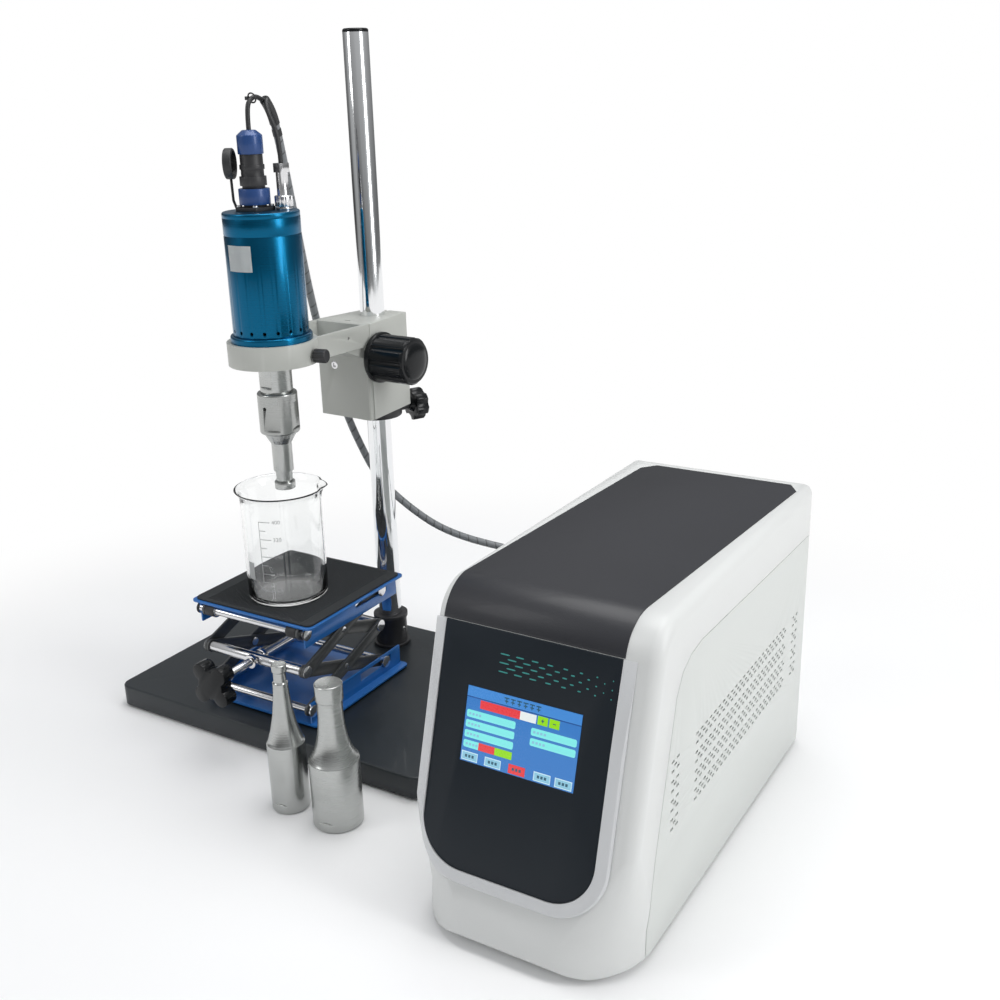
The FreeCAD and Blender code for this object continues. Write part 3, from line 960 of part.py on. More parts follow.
for k in range(7):
    fins = fins.fuse(Part.makeBox(2, 110, 34, Vector(x0 + 116 + 8 * k, -240, tray_z + 1.5)))
node("heat_sink", solid("heat_sink_body", fins.removeSplitter()))
supply = Part.makeBox(52, 100, 40, Vector(x0 + 116, -90, tray_z + 1.5))
node("power_supply", solid("power_supply_body", supply))
display = front_slab(ss - 6, ss + get("screen_h") + 6, sx0 - 5, sx0 + get("screen_w") + 5, -7.0, -3.4)
node("display_board", solid("display_board_body", display))

# Cords: straight runs joined by tangent arcs
TIGHTEST = []


def tube(points, radius):
    pts = [Vector(*p) for p in points]
    edges = []
    start = pts[0]
    for i in range(1, len(pts) - 1):
        a, b, c = pts[i - 1], pts[i], pts[i + 1]
        into, out = (b - a), (c - b)
        run_in, run_out = into.Length, out.Length
        into.normalize()
        out.normalize()
        turn = into.getAngle(out)
        reach_ = 0.45 * min(run_in, run_out)
        bend = reach_ / math.tan(turn / 2)
        TIGHTEST.append(round(bend, 1))
        p, q = b - into * reach_, b + out * reach_
        chord = (p + q) / 2
        centre = b + (chord - b).normalize() * (bend / math.cos(turn / 2))
        mid = centre + (b - centre).normalize() * bend
        edges.append(Part.makeLine(start, p))
        edges.append(Part.Arc(p, mid, q).toShape())
        start = q
    edges.append(Part.makeLine(start, pts[-1]))
    first = (pts[1] - pts[0]).normalize()
    ring = Part.Wire([Part.makeCircle(radius, pts[0], first)])
    shape = Part.Wire(edges).makePipeShell([ring], True, False)
    return shape


def halfway(a, b):
    return tuple((p + q) / 2 for p, q in zip(a, b))


POWER = [(-12.2, -147.0, 584.65), (-12.2, -147.0, 603.0), (-12.2, -141.5, 610.4), (-12.2, -132.7, 613.0),
         (-12.8, -124.6, 608.6)]
SIGNAL = [(7.9, -131.2, 555.7), (7.9, -131.2, 571.0), (4.8, -131.3, 585.0), (-1.6, -131.0, 597.0),
          (-6.3, -128.3, 605.5), (-8.6, -123.6, 609.4)]
WRAP = [(-11.0, -124.0, 609.0), (-14.0, -116.0, 603.5), (-17.8, -107.0, 594.0), (-20.2, -100.0, 579.0),
        (-22.0, -94.0, 559.0), (-24.2, -87.0, 534.0), (-27.2, -78.0, 504.0), (-31.2, -68.0, 472.0),
        (-36.0, -56.0, 437.0), (-42.0, -42.0, 405.0), (-47.0, -28.0, 372.0), (-48.0, -15.0, 336.0),
        (-45.5, -4.0, 303.0), (-41.5, 4.0, 274.0), (-35.5, 10.5, 250.0), (-27.0, 17.0, 224.0),
        (-15.0, 23.5, 202.0), (0.0, 30.0, 186.0), (15.0, 39.0, 170.0), (32.0, 53.0, 152.0),
        (54.0, 73.0, 135.5), (83.0, 93.0, 123.5), (119.0, 108.0, 115.5), (160.0, 115.0, 108.5),
        (203.0, 116.0, 102.5), (244.0, 113.5, 97.0), (280.0, 107.0, 92.0), (308.0, 96.0, 88.0),
        (325.0, 80.0, 86.0)]
WRAP = WRAP + [(gland_x, face + 11.0, gland_z)]
node("power_lead", solid("power_lead_body", tube(POWER, get("signal_lead_r"))))
node("signal_lead", solid("signal_lead_body", tube(SIGNAL, get("signal_lead_r"))))
cut_a = halfway(WRAP[8], WRAP[9])
cut_b = halfway(WRAP[16], WRAP[17])
node("bundle_head", solid("bundle_head_body", tube(WRAP[:9] + [cut_a], cord_r)))
node("bundle_drop", solid("bundle_drop_body", tube([cut_a] + WRAP[9:17] + [cut_b], cord_r)))
node("bundle_tail", solid("bundle_tail_body", tube([cut_b] + WRAP[17:], cord_r)))
tie = Part.makeTorus(4.6, 0.8, Vector(-12.1, -139.3, 611.2), Vector(0, 0.96, 0.28))
tie = tie.fuse(Part.makeBox(5, 4, 4, Vector(-19.5, -141.5, 609.2)))
node("cable_tie", solid("cable_tie_body", tie))
print("bend radii, mm:", TIGHTEST)

# Small pieces that stay together share a file, each still a solid of its own
SHARED = (
    ("rubber_feet", "board_feet", "jack_pads", "gen_feet"),
    ("stand_screws", "column_bolt", "socket_screws"),
    ("head_screws", "arm_screws", "connector_screws"),
    ("stack_bolts", "preload_bolt", "coupling_studs"),
    ("power_connector", "connector_body", "connector_flange"),
    ("connector_nuts", "connector_ring", "gland_nut"),
    ("dust_cap_set", "dust_cap", "cap_strap"),
    ("signal_connector", "signal_plug", "signal_socket"),
    ("lower_links_a", "lower_links_outer", "lower_link_pins"),
    ("lower_links_b", "lower_links_inner", "base_rear_rod"),
    ("upper_links_a", "upper_links_inner", "upper_link_pins"),
    ("upper_links_b", "upper_links_outer", "top_rear_rod"),
    ("jack_base_set", "jack_base", "base_front_rod"),
    ("top_front_rod_set", "top_front_rod", "top_rod_spacers"),
    ("rear_fittings", "mains_inlet", "inlet_pins", "switch_frame", "fuse_holder", "cable_gland", "fan_frame",
     "fan_guard"),
    ("gen_internals", "chassis_plate", "board_posts", "power_board", "transformer", "heat_sink", "power_supply",
     "display_board"),
    ("transducer_leads", "power_lead", "signal_lead", "cable_tie"),
)
held = {thing.Label: thing for thing in NODES}
for names in SHARED:
    members = [held.pop(name) for name in names[1:]]
    held[names[0]] = bunch(names[0], *members)
    held[names[0]].Label = names[0]
NODES = list(held.values())

# Check each piece, then write it
doc.recompute()
for thing in doc.Objects:
    if "Invalid" in thing.State or "Error" in thing.State:
        raise RuntimeError("%s is %s" % (thing.Name, thing.State))
os.makedirs("parts", exist_ok=True)
for thing in NODES:
    if thing.Shape.isNull() or not thing.Shape.isValid():
        raise RuntimeError("%s has a faulty shape" % thing.Label)
for thing in NODES:
    thing.Shape.exportStep("parts/%s.step" % thing.Label)
bounds = FreeCAD.BoundBox()
for thing in NODES:
    bounds.add(thing.Shape.BoundBox)
print("pieces:", len(NODES), "bounds:", bounds)
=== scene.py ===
import json
import math
import bmesh
import bpy
from mathutils import Matrix, Vector


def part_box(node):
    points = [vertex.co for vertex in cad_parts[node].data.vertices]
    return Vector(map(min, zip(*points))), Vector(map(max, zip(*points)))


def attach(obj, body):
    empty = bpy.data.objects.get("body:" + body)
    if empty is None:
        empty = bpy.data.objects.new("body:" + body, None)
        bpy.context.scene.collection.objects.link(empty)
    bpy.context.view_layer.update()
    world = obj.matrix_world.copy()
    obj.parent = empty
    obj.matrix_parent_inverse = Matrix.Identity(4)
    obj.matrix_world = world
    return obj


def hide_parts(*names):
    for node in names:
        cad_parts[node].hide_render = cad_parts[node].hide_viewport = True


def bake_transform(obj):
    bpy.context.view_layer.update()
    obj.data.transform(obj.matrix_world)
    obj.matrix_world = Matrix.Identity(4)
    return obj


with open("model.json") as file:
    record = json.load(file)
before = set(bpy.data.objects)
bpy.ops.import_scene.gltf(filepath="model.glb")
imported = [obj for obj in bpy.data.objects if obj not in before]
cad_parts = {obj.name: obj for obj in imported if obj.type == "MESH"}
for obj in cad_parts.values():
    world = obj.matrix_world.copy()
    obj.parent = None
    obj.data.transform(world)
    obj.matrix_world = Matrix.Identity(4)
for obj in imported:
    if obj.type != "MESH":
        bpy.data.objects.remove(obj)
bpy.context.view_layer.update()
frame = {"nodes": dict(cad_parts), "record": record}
CX, CY = -0.1285, 0.153
TURN = math.radians(-3.2)
rad = math.radians


def at(x, y, z):
    """A point given from the column's axis in millimetres, as the frame's metres."""
    return Vector((CX + x / 1000, CY + y / 1000, z / 1000))


def head(x, y, z):
    """The same for the head, which is turned a little about the column."""
    return at(x * math.cos(TURN) - y * math.sin(TURN), x * math.sin(TURN) + y * math.cos(TURN), z)


# Shared shader groups
def group(name, inputs, outputs):
    tree = bpy.data.node_groups.new(name, "ShaderNodeTree")
    for label, kind, value in inputs:
        socket = tree.interface.new_socket(name=label, in_out="INPUT", socket_type=kind)
        if value is not None:
            socket.default_value = value
    for label, kind in outputs:
        tree.interface.new_socket(name=label, in_out="OUTPUT", socket_type=kind)
    return tree, tree.nodes.new("NodeGroupInput"), tree.nodes.new("NodeGroupOutput")


def link_all(tree, pairs):
    for a, b in pairs:
        tree.links.new(a, b)


def math_node(tree, op, a=None, b=None, clamp=False):
    n = tree.nodes.new("ShaderNodeMath")
    n.operation = op
    n.use_clamp = clamp
    for socket, value in zip(n.inputs, (a, b)):
        if value is None:
            continue
        if isinstance(value, (int, float)):
            socket.default_value = value
        else:
            tree.links.new(value, socket)
    return n.outputs[0]


def make_surface_group():
    F, V = "NodeSocketFloat", "NodeSocketVector"
    tree, gi, go = group("Surface", [("Vector", V, None), ("Stretch", V, (1, 1, 1)), ("Scale", F, 400.0),
                                     ("Blotch", F, 9.0)], [("Tone", F), ("Height", F), ("Wear", F)])
    mul = tree.nodes.new("ShaderNodeVectorMath")
    mul.operation = "MULTIPLY"
    fine = tree.nodes.new("ShaderNodeTexNoise")
    fine.inputs["Detail"].default_value = 3.0
    fine.inputs["Roughness"].default_value = 0.6
    broad = tree.nodes.new("ShaderNodeTexNoise")
    broad.inputs["Detail"].default_value = 2.0
    wear = tree.nodes.new("ShaderNodeTexNoise")
    wear.inputs["Detail"].default_value = 6.0
    wear.inputs["Roughness"].default_value = 0.7
    link_all(tree, [(gi.outputs["Vector"], mul.inputs[0]), (gi.outputs["Stretch"], mul.inputs[1]),
                    (mul.outputs[0], fine.inputs["Vector"]), (gi.outputs["Scale"], fine.inputs["Scale"]),
                    (gi.outputs["Vector"], broad.inputs["Vector"]),
                    (gi.outputs["Blotch"], broad.inputs["Scale"]),
                    (gi.outputs["Vector"], wear.inputs["Vector"])])
    link_all(tree, [(math_node(tree, "MULTIPLY", gi.outputs["Blotch"], 6.0), wear.inputs["Scale"])])
    mixed = math_node(tree, "ADD", math_node(tree, "MULTIPLY", fine.outputs[0], 0.45),
                      math_node(tree, "MULTIPLY", broad.outputs[0], 0.55))
    link_all(tree, [(mixed, go.inputs["Tone"]), (fine.outputs[0], go.inputs["Height"]),
                    (wear.outputs[0], go.inputs["Wear"])])
    return tree


SURFACE = make_surface_group()


def finish(name, color, metallic=0.0, rough=0.4, stretch=(1, 1, 1), scale=400.0, blotch=9.0, vary=0.04,
           rough_vary=0.08, bump=0.02, depth=0.0003, coat=0.0, edge=0.0, aniso=0.0, spec=0.5):
    """A material with tone, roughness and bump from the shared group, and lighter worn edges where asked."""
    mat = bpy.data.materials.new(name)
    mat.use_nodes = True
    tree = mat.node_tree
    bsdf = tree.nodes["Principled BSDF"]
    coord = tree.nodes.new("ShaderNodeTexCoord")
    surf = tree.nodes.new("ShaderNodeGroup")
    surf.node_tree = SURFACE
    surf.inputs["Stretch"].default_value = stretch
    surf.inputs["Scale"].default_value = scale
    surf.inputs["Blotch"].default_value = blotch
    tree.links.new(coord.outputs["Object"], surf.inputs["Vector"])
    low = [max(0.0, c * (1 - vary)) for c in color] + [1.0]
    high = [min(1.0, c * (1 + vary) + vary * 0.02) for c in color] + [1.0]
    mix = tree.nodes.new("ShaderNodeMix")
    mix.data_type = "RGBA"
    mix.inputs[6].default_value = low
    mix.inputs[7].default_value = high
    span = tree.nodes.new("ShaderNodeMapRange")
    span.inputs["From Min"].default_value = 0.3
    span.inputs["From Max"].default_value = 0.7
    tree.links.new(surf.outputs["Tone"], span.inputs["Value"])
    tree.links.new(span.outputs[0], mix.inputs[0])
    shade = mix.outputs[2]
    if edge:
        geo = tree.nodes.new("ShaderNodeNewGeometry")
        ramp = tree.nodes.new("ShaderNodeMapRange")
        ramp.inputs["From Min"].default_value = 0.53
        ramp.inputs["From Max"].default_value = 0.62
        ramp.inputs["To Max"].default_value = edge
        tree.links.new(geo.outputs["Pointiness"], ramp.inputs["Value"])
        worn = tree.nodes.new("ShaderNodeMix")
        worn.data_type = "RGBA"
        worn.inputs[7].default_value = [min(1.0, c * 1.5 + 0.12) for c in color] + [1.0]
        tree.links.new(math_node(tree, "MULTIPLY", ramp.outputs[0], surf.outputs["Wear"]), worn.inputs[0])
        tree.links.new(shade, worn.inputs[6])
        shade = worn.outputs[2]
    tree.links.new(shade, bsdf.inputs["Base Color"])
    bsdf.inputs["Metallic"].default_value = metallic
    span2 = tree.nodes.new("ShaderNodeMapRange")
    span2.inputs["From Min"].default_value = 0.3
    span2.inputs["From Max"].default_value = 0.7
    span2.inputs["To Min"].default_value = max(0.02, rough - rough_vary)
    span2.inputs["To Max"].default_value = min(1.0, rough + rough_vary)
    tree.links.new(surf.outputs["Tone"], span2.inputs["Value"])
    tree.links.new(span2.outputs[0], bsdf.inputs["Roughness"])
    bsdf.inputs["Coat Weight"].default_value = coat
    bsdf.inputs["Coat Roughness"].default_value = 0.06
    bsdf.inputs["Specular IOR Level"].default_value = spec
    bsdf.inputs["Anisotropic"].default_value = aniso
    if bump:
        b = tree.nodes.new("ShaderNodeBump")
        b.inputs["Strength"].default_value = bump
        b.inputs["Distance"].default_value = depth
        tree.links.new(surf.outputs["Height"], b.inputs["Height"])
        tree.links.new(b.outputs[0], bsdf.inputs["Normal"])
    return mat


LATHE = (0.04, 0.04, 9.0)
M = {
    "board": finish("board_black", (0.016, 0.021, 0.025), rough=0.40, scale=1100, bump=0.35, coat=0.08,
                    edge=0.35, spec=0.4),
    "rubber": finish("rubber_black", (0.030, 0.033, 0.036), rough=0.75, scale=1200, bump=0.3, spec=0.3),
    "chrome": finish("chrome_tube", (0.86, 0.87, 0.88), 1.0, 0.07, LATHE, 160, vary=0.02, rough_vary=0.03,
                     bump=0.004),
    "steel": finish("turned_steel", (0.47, 0.48, 0.47), 1.0, 0.25, LATHE, 420, vary=0.05, bump=0.012,
                    aniso=0.3),
    "rod": finish("bright_rod", (0.74, 0.74, 0.75), 1.0, 0.16, (9, 0.04, 0.04), 200, vary=0.05, bump=0.03),
    "milled": finish("milled_steel", (0.40, 0.41, 0.40), 1.0, 0.26, LATHE, 420, vary=0.08, bump=0.03,
                     aniso=0.3),
    "gloss": finish("gloss_black", (0.004, 0.005, 0.006), rough=0.2, scale=500, bump=0.03, coat=0.05,
                    rough_vary=0.03, spec=0.25),
    "matt": finish("matt_black", (0.02, 0.02, 0.022), rough=0.45, scale=1500, bump=0.2, edge=0.3),
    "arm": finish("cast_grey", (0.45, 0.46, 0.43), rough=0.42, scale=1300, bump=0.3, vary=0.03, edge=0.25,
                  spec=0.4),
    "blue": finish("blue_anodised", (0.0, 0.105, 0.215), 0.9, 0.28, LATHE, 520, vary=0.03, bump=0.006,
                   coat=0.08, rough_vary=0.03),
    "nut": finish("nut_blue", (0.012, 0.055, 0.20), 0.15, 0.35, scale=900, bump=0.1, coat=0.2, edge=0.3),
    "jack": finish("jack_blue", (0.004, 0.13, 0.44), 0.1, 0.34, scale=1100, bump=0.2, coat=0.25, edge=0.35),
    "link": finish("link_grey", (0.085, 0.088, 0.088), 0.2, 0.38, scale=1200, bump=0.3, vary=0.08, edge=0.35),
    "case": finish("case_grey", (0.62, 0.64, 0.62), rough=0.42, scale=1500, bump=0.3, vary=0.012, coat=0.05,
                   spec=0.4),
    "cover": finish("cover_white", (0.68, 0.69, 0.68), rough=0.38, scale=1500, bump=0.2, vary=0.012, coat=0.1,
                    spec=0.4),
    "sheet": finish("sheet_dark", (0.020, 0.021, 0.026), rough=0.42, scale=1500, bump=0.4, vary=0.06,
                    coat=0.05, spec=0.4),
    "panel": finish("panel_dark", (0.008, 0.013, 0.019), rough=0.38, scale=1600, bump=0.1, vary=0.05,
                    coat=0.0, spec=0.22),
    "rim": finish("rim_grey", (0.62, 0.63, 0.64), rough=0.3, scale=900, bump=0.08, coat=0.3, vary=0.02),
    "brass": finish("brass", (0.72, 0.52, 0.22), 1.0, 0.3, scale=500, bump=0.05),
    "ceramic": finish("ceramic", (0.78, 0.75, 0.68), rough=0.6, scale=900, bump=0.1),
    "pcb": finish("board_green", (0.02, 0.16, 0.09), rough=0.45, scale=500, bump=0.1),
    "lead": finish("lead_black", (0.02, 0.021, 0.022), rough=0.5, scale=1500, bump=0.25),
    "tag": finish("pale_plate", (0.72, 0.75, 0.75), 0.0, 0.4, scale=900, bump=0.05, vary=0.03),
    "print": finish("print_grey", (0.36, 0.37, 0.37), rough=0.5, scale=900, bump=0.05),
}


# Mesh helpers
def link(obj):
    bpy.context.scene.collection.objects.link(obj)
    return obj


def add(name, bm, mat, body=None, smooth=40.0, stands_for=()):
    """Turns a bmesh into a finished piece: outward normals, sharp edges by angle, a material and a body."""
    bmesh.ops.recalc_face_normals(bm, faces=bm.faces)
    mesh = bpy.data.meshes.new(name)
    bm.to_mesh(mesh)
    bm.free()
    for p in mesh.polygons:
        p.use_smooth = True
    mesh.set_sharp_from_angle(angle=rad(smooth))
    obj = link(bpy.data.objects.new(name, mesh))
    mesh.materials.append(M[mat] if isinstance(mat, str) else mat)
    if stands_for:
        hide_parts(*stands_for)
    if body:
        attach(obj, body)
    return obj


def bevel(bm, width, segments=2, angle=28.0):
    edges = [e for e in bm.edges if len(e.link_faces) == 2 and e.calc_face_angle(0) > rad(angle)]
    if edges:
        bmesh.ops.bevel(bm, geom=edges, offset=width, segments=segments, profile=0.5, affect="EDGES",
                        clamp_overlap=True)


def dress(node, mat, width):
    """A bevelled stand-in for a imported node, in the same place, with true rounded edges that catch light."""
    src = frame["nodes"][node]
    bm = bmesh.new()
    bm.from_mesh(src.data)
    bmesh.ops.remove_doubles(bm, verts=bm.verts, dist=2e-6)
    bmesh.ops.dissolve_limit(bm, angle_limit=rad(0.4), verts=bm.verts, edges=bm.edges)
    bevel(bm, width)
    add(node + "_dressed", bm, mat, BODY_OF[node], smooth=32.0, stands_for=(node,))


BODY_OF = {n: b for b, nodes in frame["record"]["behaviour"]["bodies"].items() for n in nodes}


def paint(node, mat):
    obj = frame["nodes"][node]
    obj.data.materials.clear()
    obj.data.materials.append(M[mat])


def lathe(profile, at_point, steps):
    """Turns (radius, z) points in mm about a vertical line through a point of the frame."""
    bm = bmesh.new()
    rings = []
    for r, z in profile:
        if r <= 1e-6:
            rings.append([bm.verts.new((at_point[0], at_point[1], at_point[2] + z / 1000))])
            continue
        rings.append([bm.verts.new((at_point[0] + r / 1000 * math.cos(2 * math.pi * i / steps),
                                    at_point[1] + r / 1000 * math.sin(2 * math.pi * i / steps),
                                    at_point[2] + z / 1000)) for i in range(steps)])
    for a, b in zip(rings, rings[1:]):
        for i in range(steps):
            j = (i + 1) % steps
            if len(a) == 1:
                bm.faces.new((a[0], b[i], b[j]))
            elif len(b) == 1:
                bm.faces.new((a[i], b[0], a[j]))
            else:
                bm.faces.new((a[i], b[i], b[j], a[j]))
    return bm


def box_into(bm, low, high):
    out = bmesh.ops.create_cube(bm, size=1.0)
    for v in out["verts"]:
        v.co = Vector([lo + (c + 0.5) * (hi - lo) for lo, hi, c in zip(low, high, v.co)])
    return out["verts"]


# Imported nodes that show, each with its finish and the width of its worn edges in metres
for node, mat, width in (
        ("base_board", "board", 0.0002), ("column", "chrome", 0.0002), ("column_cap", "gloss", 0.0002),
        ("column_socket", "matt", 0.0005), ("stand_screws", "steel", 0.0003),
        ("rubber_feet", "rubber", 0.0004), ("safety_collar", "matt", 0.0004),
        ("collar_knob", "gloss", 0.0009), ("clamp_block", "arm", 0.0005), ("focus_arm", "arm", 0.0005),
        ("focus_knob", "gloss", 0.0007), ("thumb_screw", "matt", 0.0002), ("head_screws", "rod", 0.0003),
        ("focus_rack", "brass", 0.0001), ("pinion_shaft", "steel", 0.0002),
        ("transducer_flange", "blue", 0.0004), ("transducer_shell", "blue", 0.0003),
        ("transducer_cap", "blue", 0.0004), ("front_mass", "steel", 0.0005),
        ("coupling_sleeve", "milled", 0.0006), ("horn", "steel", 0.0004), ("horn_tip", "steel", 0.0005),
        ("power_connector", "matt", 0.0005), ("connector_nuts", "nut", 0.0006),
        ("dust_cap_set", "lead", 0.0003), ("signal_connector", "rod", 0.0003),
        ("jack_base_set", "jack", 0.0004), ("jack_platform", "jack", 0.0004),
        ("lower_links_a", "link", 0.0004), ("lower_links_b", "link", 0.0004),
        ("upper_links_a", "link", 0.0004), ("upper_links_b", "link", 0.0004),
        ("top_front_rod_set", "matt", 0.0004), ("front_screw_rod", "rod", 0.0004),
        ("rear_nut_rod", "rod", 0.0004), ("jack_screw", "rod", 0.0003), ("jack_knob", "gloss", 0.0012),
        ("spare_horn_slim", "steel", 0.0004), ("spare_horn_wide", "steel", 0.0004),
        ("gen_casing", "case", 0.0004), ("gen_cover", "cover", 0.0006), ("top_sheet", "sheet", 0.0004),
        ("front_panel", "panel", 0.0004), ("trim_rim", "rim", 0.0009), ("rear_panel", "case", 0.0003),
        ("rear_fittings", "matt", 0.0004), ("power_rocker", "gloss", 0.0006)):
    dress(node, mat, width)
for node, mat in (("piezo_rings", "ceramic"), ("electrodes", "brass"), ("back_mass", "steel"),
                  ("stack_bolts", "steel"), ("fan_rotor", "matt"), ("gen_internals", "pcb")):
    paint(node, mat)


def second(name, mat, test):
    """Gives the faces of a dressed piece that pass a test another material."""
    obj = bpy.data.objects[name]
    obj.data.materials.append(M[mat])
    which = len(obj.data.materials) - 1
    for p in obj.data.polygons:
        if test(p.center):
            p.material_index = which


# The jack's middle and its front pivots, and where its rods and pins end and its flat links begin
JACK_X, PIVOT_Y = CX - 0.0247, CY - 0.1915
TOP_ROD_Z, FLOOR_ROD_Z = 0.1242, 0.0415
TOP_ROD_REACH, FLOOR_ROD_REACH = 0.0052, 0.0065
LINK_INSIDE, LINK_OUTSIDE = 0.0592, 0.0651


def near_pivot(c, z, reach):
    return math.hypot(c.y - PIVOT_Y, c.z - z) < reach


second("top_front_rod_set_dressed", "rod", lambda c: near_pivot(c, TOP_ROD_Z, TOP_ROD_REACH))
second("jack_base_set_dressed", "rod", lambda c: near_pivot(c, FLOOR_ROD_Z, FLOOR_ROD_REACH))
for name in ("lower_links_a", "lower_links_b", "upper_links_a", "upper_links_b"):
    second(name + "_dressed", "rod", lambda c: not LINK_INSIDE <= abs(c.x - JACK_X) <= LINK_OUTSIDE)


# Ribbed mat on the jack
def jack_mat():
    lo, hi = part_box("jack_mat")
    bm = bmesh.new()
    pitch, depth = 0.0026, 0.0008
    corner, margin, plain = 0.006, 0.006, 4
    nx = int((hi.x - lo.x - margin) / pitch)
    x0 = (lo.x + hi.x) / 2 - nx * pitch / 2

    def inset(x):
        """How far the rounded corner draws the edge in at x."""
        d = max(0.0, corner - min(x - lo.x, hi.x - x))
        return corner - math.sqrt(max(0.0, corner * corner - d * d)) if d else 0.0

    xs = [lo.x + corner * (1 - math.cos(math.pi / 2 * k / 6)) for k in range(6)]
    prof = [(x, hi.z) for x in xs]
    x = x0 + plain * pitch
    while x < x0 + (nx - plain) * pitch:
        prof += [(x, hi.z), (x + pitch * 0.22, hi.z - depth), (x + pitch * 0.5, hi.z - depth),
                 (x + pitch * 0.72, hi.z)]
        x += pitch
    prof += [(hi.x - (x - lo.x), hi.z) for x in reversed(xs)]
    rows = []
    for px, pz in prof:
        d = inset(px)
        across = [(0.0, lo.z), (0.0, hi.z - 0.0004), (0.0008, hi.z), (0.004, hi.z), (0.0045, pz)]
        spots = [(lo.y + d + y, z) for y, z in across] + [(hi.y - d - y, z) for y, z in reversed(across)]
        rows.append([bm.verts.new((px, y, z)) for y, z in spots])
    last = len(rows[0]) - 1
    for a, b in zip(rows, rows[1:]):
        for i in range(last):
            bm.faces.new((a[i], a[i + 1], b[i + 1], b[i]))
        bm.faces.new((a[last], a[0], b[0], b[last]))
    bm.faces.new(rows[0])
    bm.faces.new(list(reversed(rows[-1])))
    add("jack_mat_ribbed", bm, "rubber", "platform", 30, ("jack_mat",))


jack_mat()

# Beaker with spout, rolled rim and printed scale
BEAKER = at(-21, -139.5, 135)


def glass_material():
    mat = bpy.data.materials.new("beaker_glass")
    mat.use_nodes = True
    b = mat.node_tree.nodes["Principled BSDF"]
    b.inputs["Base Color"].default_value = (0.985, 0.992, 0.99, 1)
    b.inputs["Transmission Weight"].default_value = 1.0
    b.inputs["Roughness"].default_value = 0.0
    b.inputs["IOR"].default_value = 1.47
    coord = mat.node_tree.nodes.new("ShaderNodeTexCoord")
    noise = mat.node_tree.nodes.new("ShaderNodeTexNoise")
    noise.inputs["Scale"].default_value = 30
    bump = mat.node_tree.nodes.new("ShaderNodeBump")
    bump.inputs["Strength"].default_value = 0.03
    bump.inputs["Distance"].default_value = 0.001
    link_all(mat.node_tree, [(coord.outputs["Object"], noise.inputs["Vector"]),
                             (noise.outputs[0], bump.inputs["Height"]),
                             (bump.outputs[0], b.inputs["Normal"])])
    return mat


M["glass"] = glass_material()


def beaker():
    """Outer radius, height and wall in mm; the rim above lip_from is drawn out into a spout."""
    r, h, w = 40.0, 114.0, 2.0
    prof = [(0.0, 0.0), (r - 8, 0.0), (r - 3.4, 0.35), (r - 1.2, 1.6), (r - 0.25, 3.6), (r, 6),
            (r, 30), (r, 60), (r, h - 14), (r + 0.2, h - 8), (r + 1.4, h - 4), (r + 3.2, h - 2),
            (r + 4.3, h - 1.2), (r + 4.8, h - 0.3), (r + 4.2, h), (r + 3.2, h - 0.2), (r + 1.6, h - 1.8),
            (r - 0.4, h - 4.6), (r - w + 0.1, h - 9), (r - w, h - 14), (r - w, 60), (r - w, 30),
            (r - w, 8), (r - w - 1.2, 5.2), (r - w - 4, 3.4), (r - w - 9, 3.0), (0.0, 3.0)]
    bm = lathe(prof, BEAKER, 128)
    spout_way, lip_from, lip_height = rad(38), 96, 18
    reach, pinch, droop, most = 0.0022, 0.0016, 0.0012, 0.0049
    for v in bm.verts:
        x, y, z = v.co.x - BEAKER.x, v.co.y - BEAKER.y, (v.co.z - BEAKER.z) * 1000
        if z < lip_from or math.hypot(x, y) < 0.03:
            continue
        off = (math.atan2(y, x) - spout_way + math.pi) % (2 * math.pi) - math.pi
        lift = max(0.0, (z - lip_from) / lip_height) ** 1.6
        middle = math.exp(-(off / 0.16) ** 2)
        beside = math.exp(-((abs(off) - 0.34) / 0.12) ** 2)
        push = min(middle * reach * lift - beside * pinch * lift, most)
        v.co.x += math.cos(math.atan2(y, x)) * push
        v.co.y += math.sin(math.atan2(y, x)) * push
        v.co.z -= middle * droop * lift
    add("beaker_glass_wall", bm, "glass", "beaker_body", 60, ("beaker",))
    marks = bmesh.new()

    mark_r, number_r = 0.04004, 0.04006

    def patch(a0, a1, z0, z1, steps):
        low = [marks.verts.new((BEAKER.x + mark_r * math.cos(a0 + (a1 - a0) * k / steps),
                                BEAKER.y + mark_r * math.sin(a0 + (a1 - a0) * k / steps),
                                BEAKER.z + z0 / 1000))
               for k in range(steps + 1)]
        high = [marks.verts.new((v.co.x, v.co.y, BEAKER.z + z1 / 1000)) for v in low]
        for k in range(steps):
            marks.faces.new((low[k], low[k + 1], high[k + 1], high[k]))

    a = rad(-83.0)
    patch(a - 0.008, a + 0.008, 18, 90.4, 2)
    for k, z in enumerate((18, 27, 36, 45, 54, 63, 72, 81, 90)):
        patch(a, a + (0.30 if k % 2 == 0 else 0.17), z - 0.35, z + 0.35, 6)
    patch(rad(-112), rad(-99), 27, 45, 10)
    add("beaker_scale", marks, "print", "beaker_body", 60)
    for k, text in enumerate(("80", "160", "240", "320", "400")):
        font = bpy.data.curves.new("scale_number", "FONT")
        font.body = text
        font.size = 0.0056
        font.align_x = "LEFT"
        font.align_y = "CENTER"
        font.resolution_u = 3
        holder = link(bpy.data.objects.new("scale_number", font))
        bpy.context.view_layer.update()
        mesh = bpy.data.meshes.new_from_object(holder.evaluated_get(bpy.context.evaluated_depsgraph_get()))
        bpy.data.objects.remove(holder)
        z = 18 + 18 * k
        for v in mesh.vertices:
            turn = a + 0.34 + v.co.x / 0.04
            v.co = (BEAKER.x + number_r * math.cos(turn), BEAKER.y + number_r * math.sin(turn),
                    BEAKER.z + z / 1000 + v.co.y)
        num = link(bpy.data.objects.new("beaker_number_%s" % text, mesh))
        mesh.materials.append(M["print"])
        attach(num, "beaker_body")


beaker()

